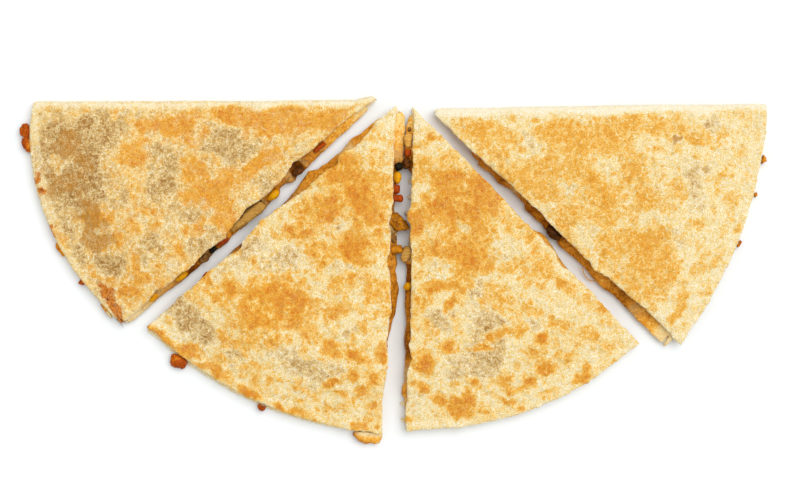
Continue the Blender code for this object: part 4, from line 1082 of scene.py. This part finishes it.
def melt(piece, wedge, look):
    """Sloping cut faces, drips and browning of one wedge's cheese."""
    mesh = piece.data
    points, normals = points_of(mesh)
    away = wedge.sides(points)[0]
    side = smooth((1.0 - np.abs(normals[:, 2])) * 1.6)
    drip = smooth((away - wedge.radius - DRIP_START) / 2.0)
    ooze = painted(points, OOZE) * drip
    # Shape
    moved = slope_wall(wedge, points)
    long = points * np.array([1.0, 1.0, 2.2])
    ripples = 0.55 * cloud(long, 4.0, wedge.seed) + 0.4 * cloud(long, 1.7, wedge.seed + 1)
    lift = ripples * look.ripple / MM
    lift += drip * (0.8 * cloud(points, 2.2, wedge.seed + 2) + 0.5 * cloud(points, 1.0, 3))
    moved = moved + normals * (lift * side)[:, None]
    moved[:, 2] += SHEET_GAP * np.sign(normals[:, 2]) * smooth(np.abs(normals[:, 2]) * 2.0)
    inward = np.array(wedge.tip) - points[:, :2]
    moved[:, :2] += DRIP_PULL * drip[:, None] * inward / np.maximum(away, 1.0)[:, None]
    moved[:, 2] = np.maximum(moved[:, 2], CHEESE_FOOT)
    moved[:, :2] += normals[:, :2] * (OOZE_SWELL * ooze)[:, None]
    # Browning, and painted shade low on the cut faces
    brown, sauce = np.full(len(points), 0.5), np.zeros(len(points))
    for name, face in wedge.cuts.items():
        along, out = wedge.along_side(name, points)
        along = along + 1.6 * cloud(points, 3.0, wedge.seed + 6)
        brown = np.where(out > -CUT_DEPTH, outline(face.tones, along), brown)
        sauce = np.where(out > -CUT_DEPTH, outline(face.tones, along, 2), sauce)
    # Random unevenness, and painted shade: the cheese darkens below 3.6 mm, low on the cut faces
    # down in the gaps
    brown += 0.14 * rough(long, 3.0, wedge.seed + 8) + 0.12 * smooth((3.6 - points[:, 2]) / 2.0)
    brown += drip * (0.45 + 0.22 * rough(points, 2.0, 7) - 0.4 * painted(points, ORANGE) - brown)
    golden = smooth((away - wedge.radius - GOLDEN_START - 0.5 * cloud(points, 2.0, 5)) / 1.2)
    pale = 0.10 + 0.1 * rough(points, 2.4, 4) + 0.14 * golden
    # The brown attribute also holds the painted shade low on the cut faces
    store(mesh, "brown", brown + (pale - brown) * ooze)
    store(mesh, "sauce", sauce + (0.8 * (1.0 - golden) - sauce) * ooze)
    store(mesh, "fried", drip * (1.0 - ooze))
    set_points(mesh, moved)


def thread(points, name):
    """A thin thread of cheese through these points."""
    curve = bpy.data.curves.new(name, "CURVE")
    curve.dimensions = "3D"
    curve.bevel_depth = THREAD_RADIUS * MM
    curve.bevel_resolution = 2
    curve.use_fill_caps = True
    spline = curve.splines.new("NURBS")
    spline.points.add(len(points) - 1)
    for target, point in zip(spline.points, points):
        target.co = (*(Vector(point) * MM), 1.0)
    spline.use_endpoint_u = True
    spline.order_u = 3
    mesh = worked_out(add_object(name + "_guide", curve), name)
    bpy.data.curves.remove(curve)
    with edited(mesh) as bm:
        bmesh.ops.remove_doubles(bm, verts=bm.verts[:], dist=WELD)
    for attribute, value in (("brown", 0.3), ("sauce", 0.3), ("fried", 0.0)):
        store(mesh, attribute, np.full(len(mesh.vertices), value))
    return add_object(name, mesh)


class QUESADILLA_OT_cheese(Operator):
    """Make the melted cheese of all four wedges"""
    bl_idname = "quesadilla.cheese"
    bl_label = "Cheese"

    def execute(self, context):
        look = context.scene.quesadilla_cheese
        material = melted_cheese(look)
        for wedge in WEDGES:
            piece = fine_copy("filling_" + wedge.name, "melted_cheese_" + wedge.name,
                              look.mesh_size)
            soften(piece.data, 1)
            refine(piece.data, lambda centre, normal: abs(normal.z) < 0.75)
            melt(piece, wedge, look)
            finish_piece(piece, "filling_" + wedge.name, material)
        for number, points in enumerate(STRINGS, 1):
            finish_piece(thread(points, f"cheese_thread_{number}"), None, material)
        return {"FINISHED"}


def plump(points, normals, middle):
    """Taut skin with shallow dents."""
    return points + normals * (0.12 * cloud(points - middle, 2.4, 3))[:, None]


def crumbled(points, normals, middle):
    """Rough, knobbly and torn."""
    away = points - middle
    lift = 0.34 * cloud(away + middle[0], 1.5, 5) + 0.14 * cloud(away, 0.7, 6)
    return points + normals * lift[:, None]


def shrivelled(points, normals, middle):
    """Soft folds, as of something fried."""
    away = (points - middle) * np.array([1.0, 0.6, 1.6])
    lift = 0.42 * cloud(away + middle[0], 1.9, 7) + 0.12 * cloud(away, 0.8, 8)
    return points + normals * lift[:, None]


@dataclass
class Food:
    """A kind of cooked piece: its material, its shape and the nodes that it stands for."""
    slot: str               # its colour in the settings too, and the start of its nodes' names
    prefix: str             # what the names of its own pieces start with
    material: str
    shade: str              # its colour in folds
    light: str              # its colour in pale spots
    roughness: float
    grain: float            # mm
    shape: Callable
    squeeze: float = 1.0    # how many times narrower its grain is along Y
    also: tuple = ()        # other starts of its nodes' names


# Boiled sweetcorn: a taut glossy skin over yellow flesh
CORN = Food("corn", "kernel_", "sweetcorn_skin", "C47D08", "E7BE42",
            roughness=0.28, grain=2.2, shape=plump)
# Diced pepper, cooked soft: glossy skin, darker at its cut edges
RED_PEPPER = Food("red_pepper", "diced_", "cooked_red_pepper", "923506", "D87D2E",
                  roughness=0.32, grain=1.8, shape=shrivelled)
YELLOW_PEPPER = Food("yellow_pepper", "diced_", "cooked_yellow_pepper", "6E3F05", "CB912A",
                     roughness=0.34, grain=2.4, shape=shrivelled, also=("orange_pepper",))
# Minced meat, fried: dark knobs with paler fat between them
MEAT = Food("meat", "minced_", "fried_minced_meat", "371A06", "A47D51",
            roughness=0.55, grain=1.4, shape=crumbled)
# Chicken breast, torn along its fibres and fried
CHICKEN = Food("chicken", "torn_", "fried_chicken", "9A6E2A", "D4B87E",
               roughness=0.5, grain=1.6, shape=shrivelled, squeeze=3.0)
# Sliced mushroom, fried brown and shrunken
MUSHROOM = Food("mushroom", "sliced_", "fried_mushroom", "513416", "B6915F",
                roughness=0.5, grain=1.6, shape=shrivelled)
# Dark olive flesh with an oily skin
OLIVE = Food("olive", "bit_of_", "dark_olive", "110E08", "51421E",
             roughness=0.3, grain=1.4, shape=crumbled)
# Black bean, boiled: a smooth skin with a dull shine
BEAN = Food("bean", "boiled_", "boiled_black_bean", "341C06", "6E4416",
            roughness=0.36, grain=1.8, shape=plump)


def cook(look, *foods):
    """Make every piece of these foods, in the order of their nodes' names."""
    materials = {food.slot: cooked_food(food, look) for food in foods}
    for node in sorted(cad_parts):
        for food in foods:
            if node.startswith((food.slot, *food.also)):
                morsel(node, food, materials[food.slot], look)


def morsel(node, food, material, look):
    """One embedded piece with a finer surface, which fills the gap round it."""
    piece = fine_copy(node, food.prefix + node, look.mesh_size)
    soften(piece.data, 1)
    points, normals = points_of(piece.data)
    middle = (points.min(0) + points.max(0)) / 2
    set_points(piece.data, food.shape(points, normals, middle) + normals * POCKET_GAP)
    store(piece.data, "brightness", np.full(len(points), BRIGHTNESS.get(node, 1.0)))
    finish_piece(piece, node, material)


class QUESADILLA_OT_corn(Operator):
    """Make the sweetcorn kernels"""
    bl_idname = "quesadilla.corn"
    bl_label = "Sweetcorn"

    def execute(self, context):
        cook(context.scene.quesadilla_morsels, CORN)
        return {"FINISHED"}


class QUESADILLA_OT_peppers(Operator):
    """Make the diced peppers"""
    bl_idname = "quesadilla.peppers"
    bl_label = "Peppers"

    def execute(self, context):
        cook(context.scene.quesadilla_morsels, RED_PEPPER, YELLOW_PEPPER)
        return {"FINISHED"}


class QUESADILLA_OT_meats(Operator):
    """Make the minced meat and the chicken"""
    bl_idname = "quesadilla.meats"
    bl_label = "Meat and chicken"

    def execute(self, context):
        for food in (MEAT, CHICKEN):
            cook(context.scene.quesadilla_morsels, food)
        return {"FINISHED"}


class QUESADILLA_OT_vegetables(Operator):
    """Make the mushrooms, olives and beans"""
    bl_idname = "quesadilla.vegetables"
    bl_label = "Mushrooms, olives, beans"

    def execute(self, context):
        for food in (MUSHROOM, OLIVE, BEAN):
            cook(context.scene.quesadilla_morsels, food)
        return {"FINISHED"}


class QUESADILLA_OT_stage(Operator):
    """Make the floor, the lights and the camera"""
    bl_idname = "quesadilla.stage"
    bl_label = "Stage"

    def execute(self, context):
        scene = context.scene
        look = scene.quesadilla_stage
        mesh = bpy.data.meshes.new("floor")
        with edited(mesh) as bm:
            bmesh.ops.create_grid(bm, x_segments=1, y_segments=1, size=FLOOR_REACH)
        # White board with a matt coat: it takes soft shadows and hardly shines
        material = bpy.data.materials.new("matt_white_board")
        material.use_nodes = True
        shader = material.node_tree.nodes["Principled BSDF"]
        shader.inputs["Base Color"].default_value = (*look.floor, 1.0)
        shader.inputs["Roughness"].default_value = 0.9
        shader.inputs["Specular IOR Level"].default_value = 0.1
        mesh.materials.append(material)
        add_object("floor", mesh)
        world = bpy.data.worlds.new("soft_sky")
        world.use_nodes = True
        background = world.node_tree.nodes["Background"]
        background.inputs["Color"].default_value = (1.0, 1.0, 1.0, 1.0)
        background.inputs["Strength"].default_value = look.sky
        scene.world = world
        key = bpy.data.lights.new("key", "SUN")
        key.angle = look.softness
        key.energy = look.key_strength
        light = add_object("key", key)
        light.location = KEY_PLACE
        light.rotation_euler = (-Vector(KEY_PLACE)).to_track_quat("-Z", "Y").to_euler()
        camera = bpy.data.cameras.new("camera")
        camera.sensor_width = 36.0
        camera.lens = camera.sensor_width * look.camera_height / look.view_width
        camera.clip_start = 0.01
        scene.camera = add_object("camera", camera)
        scene.camera.location = Vector(VIEW_CENTRE) * MM + Vector((0.0, 0.0, look.camera_height))
        scene.view_settings.view_transform = "Standard"
        return {"FINISHED"}


class QUESADILLA_PT_panel(Panel):
    """Buttons that make the pieces of the quesadilla, and their settings"""
    bl_idname = "QUESADILLA_PT_panel"
    bl_label = "Quesadilla"
    bl_space_type = "VIEW_3D"
    bl_region_type = "UI"
    bl_category = "Quesadilla"

    def draw(self, context):
        for operator in OPERATORS:
            self.layout.operator(operator.bl_idname)
        for name in SETTINGS:
            group = getattr(context.scene, name)
            box = self.layout.box()
            for key in group.bl_rna.properties.keys():
                if key not in ("rna_type", "name"):
                    box.prop(group, key)


SETTINGS = {
    "quesadilla_tortilla": TortillaSettings,
    "quesadilla_cheese": CheeseSettings,
    "quesadilla_morsels": MorselSettings,
    "quesadilla_stage": StageSettings,
}
OPERATORS = (QUESADILLA_OT_tortillas, QUESADILLA_OT_cheese, QUESADILLA_OT_corn,
             QUESADILLA_OT_peppers, QUESADILLA_OT_meats, QUESADILLA_OT_vegetables,
             QUESADILLA_OT_stage)


CLASSES = (*SETTINGS.values(), *OPERATORS, QUESADILLA_PT_panel)


def register():
    for each in CLASSES:
        bpy.utils.register_class(each)
    for name, group in SETTINGS.items():
        setattr(bpy.types.Scene, name, PointerProperty(type=group))


def unregister():
    for name in SETTINGS:
        delattr(bpy.types.Scene, name)
    for each in reversed(CLASSES):
        bpy.utils.unregister_class(each)


def main():
    """Make every piece."""
    register()
    bpy.ops.quesadilla.tortillas()
    bpy.ops.quesadilla.cheese()
    bpy.ops.quesadilla.corn()
    bpy.ops.quesadilla.peppers()
    bpy.ops.quesadilla.meats()
    bpy.ops.quesadilla.vegetables()
    bpy.ops.quesadilla.stage()


if __name__ == "__main__":
    main()
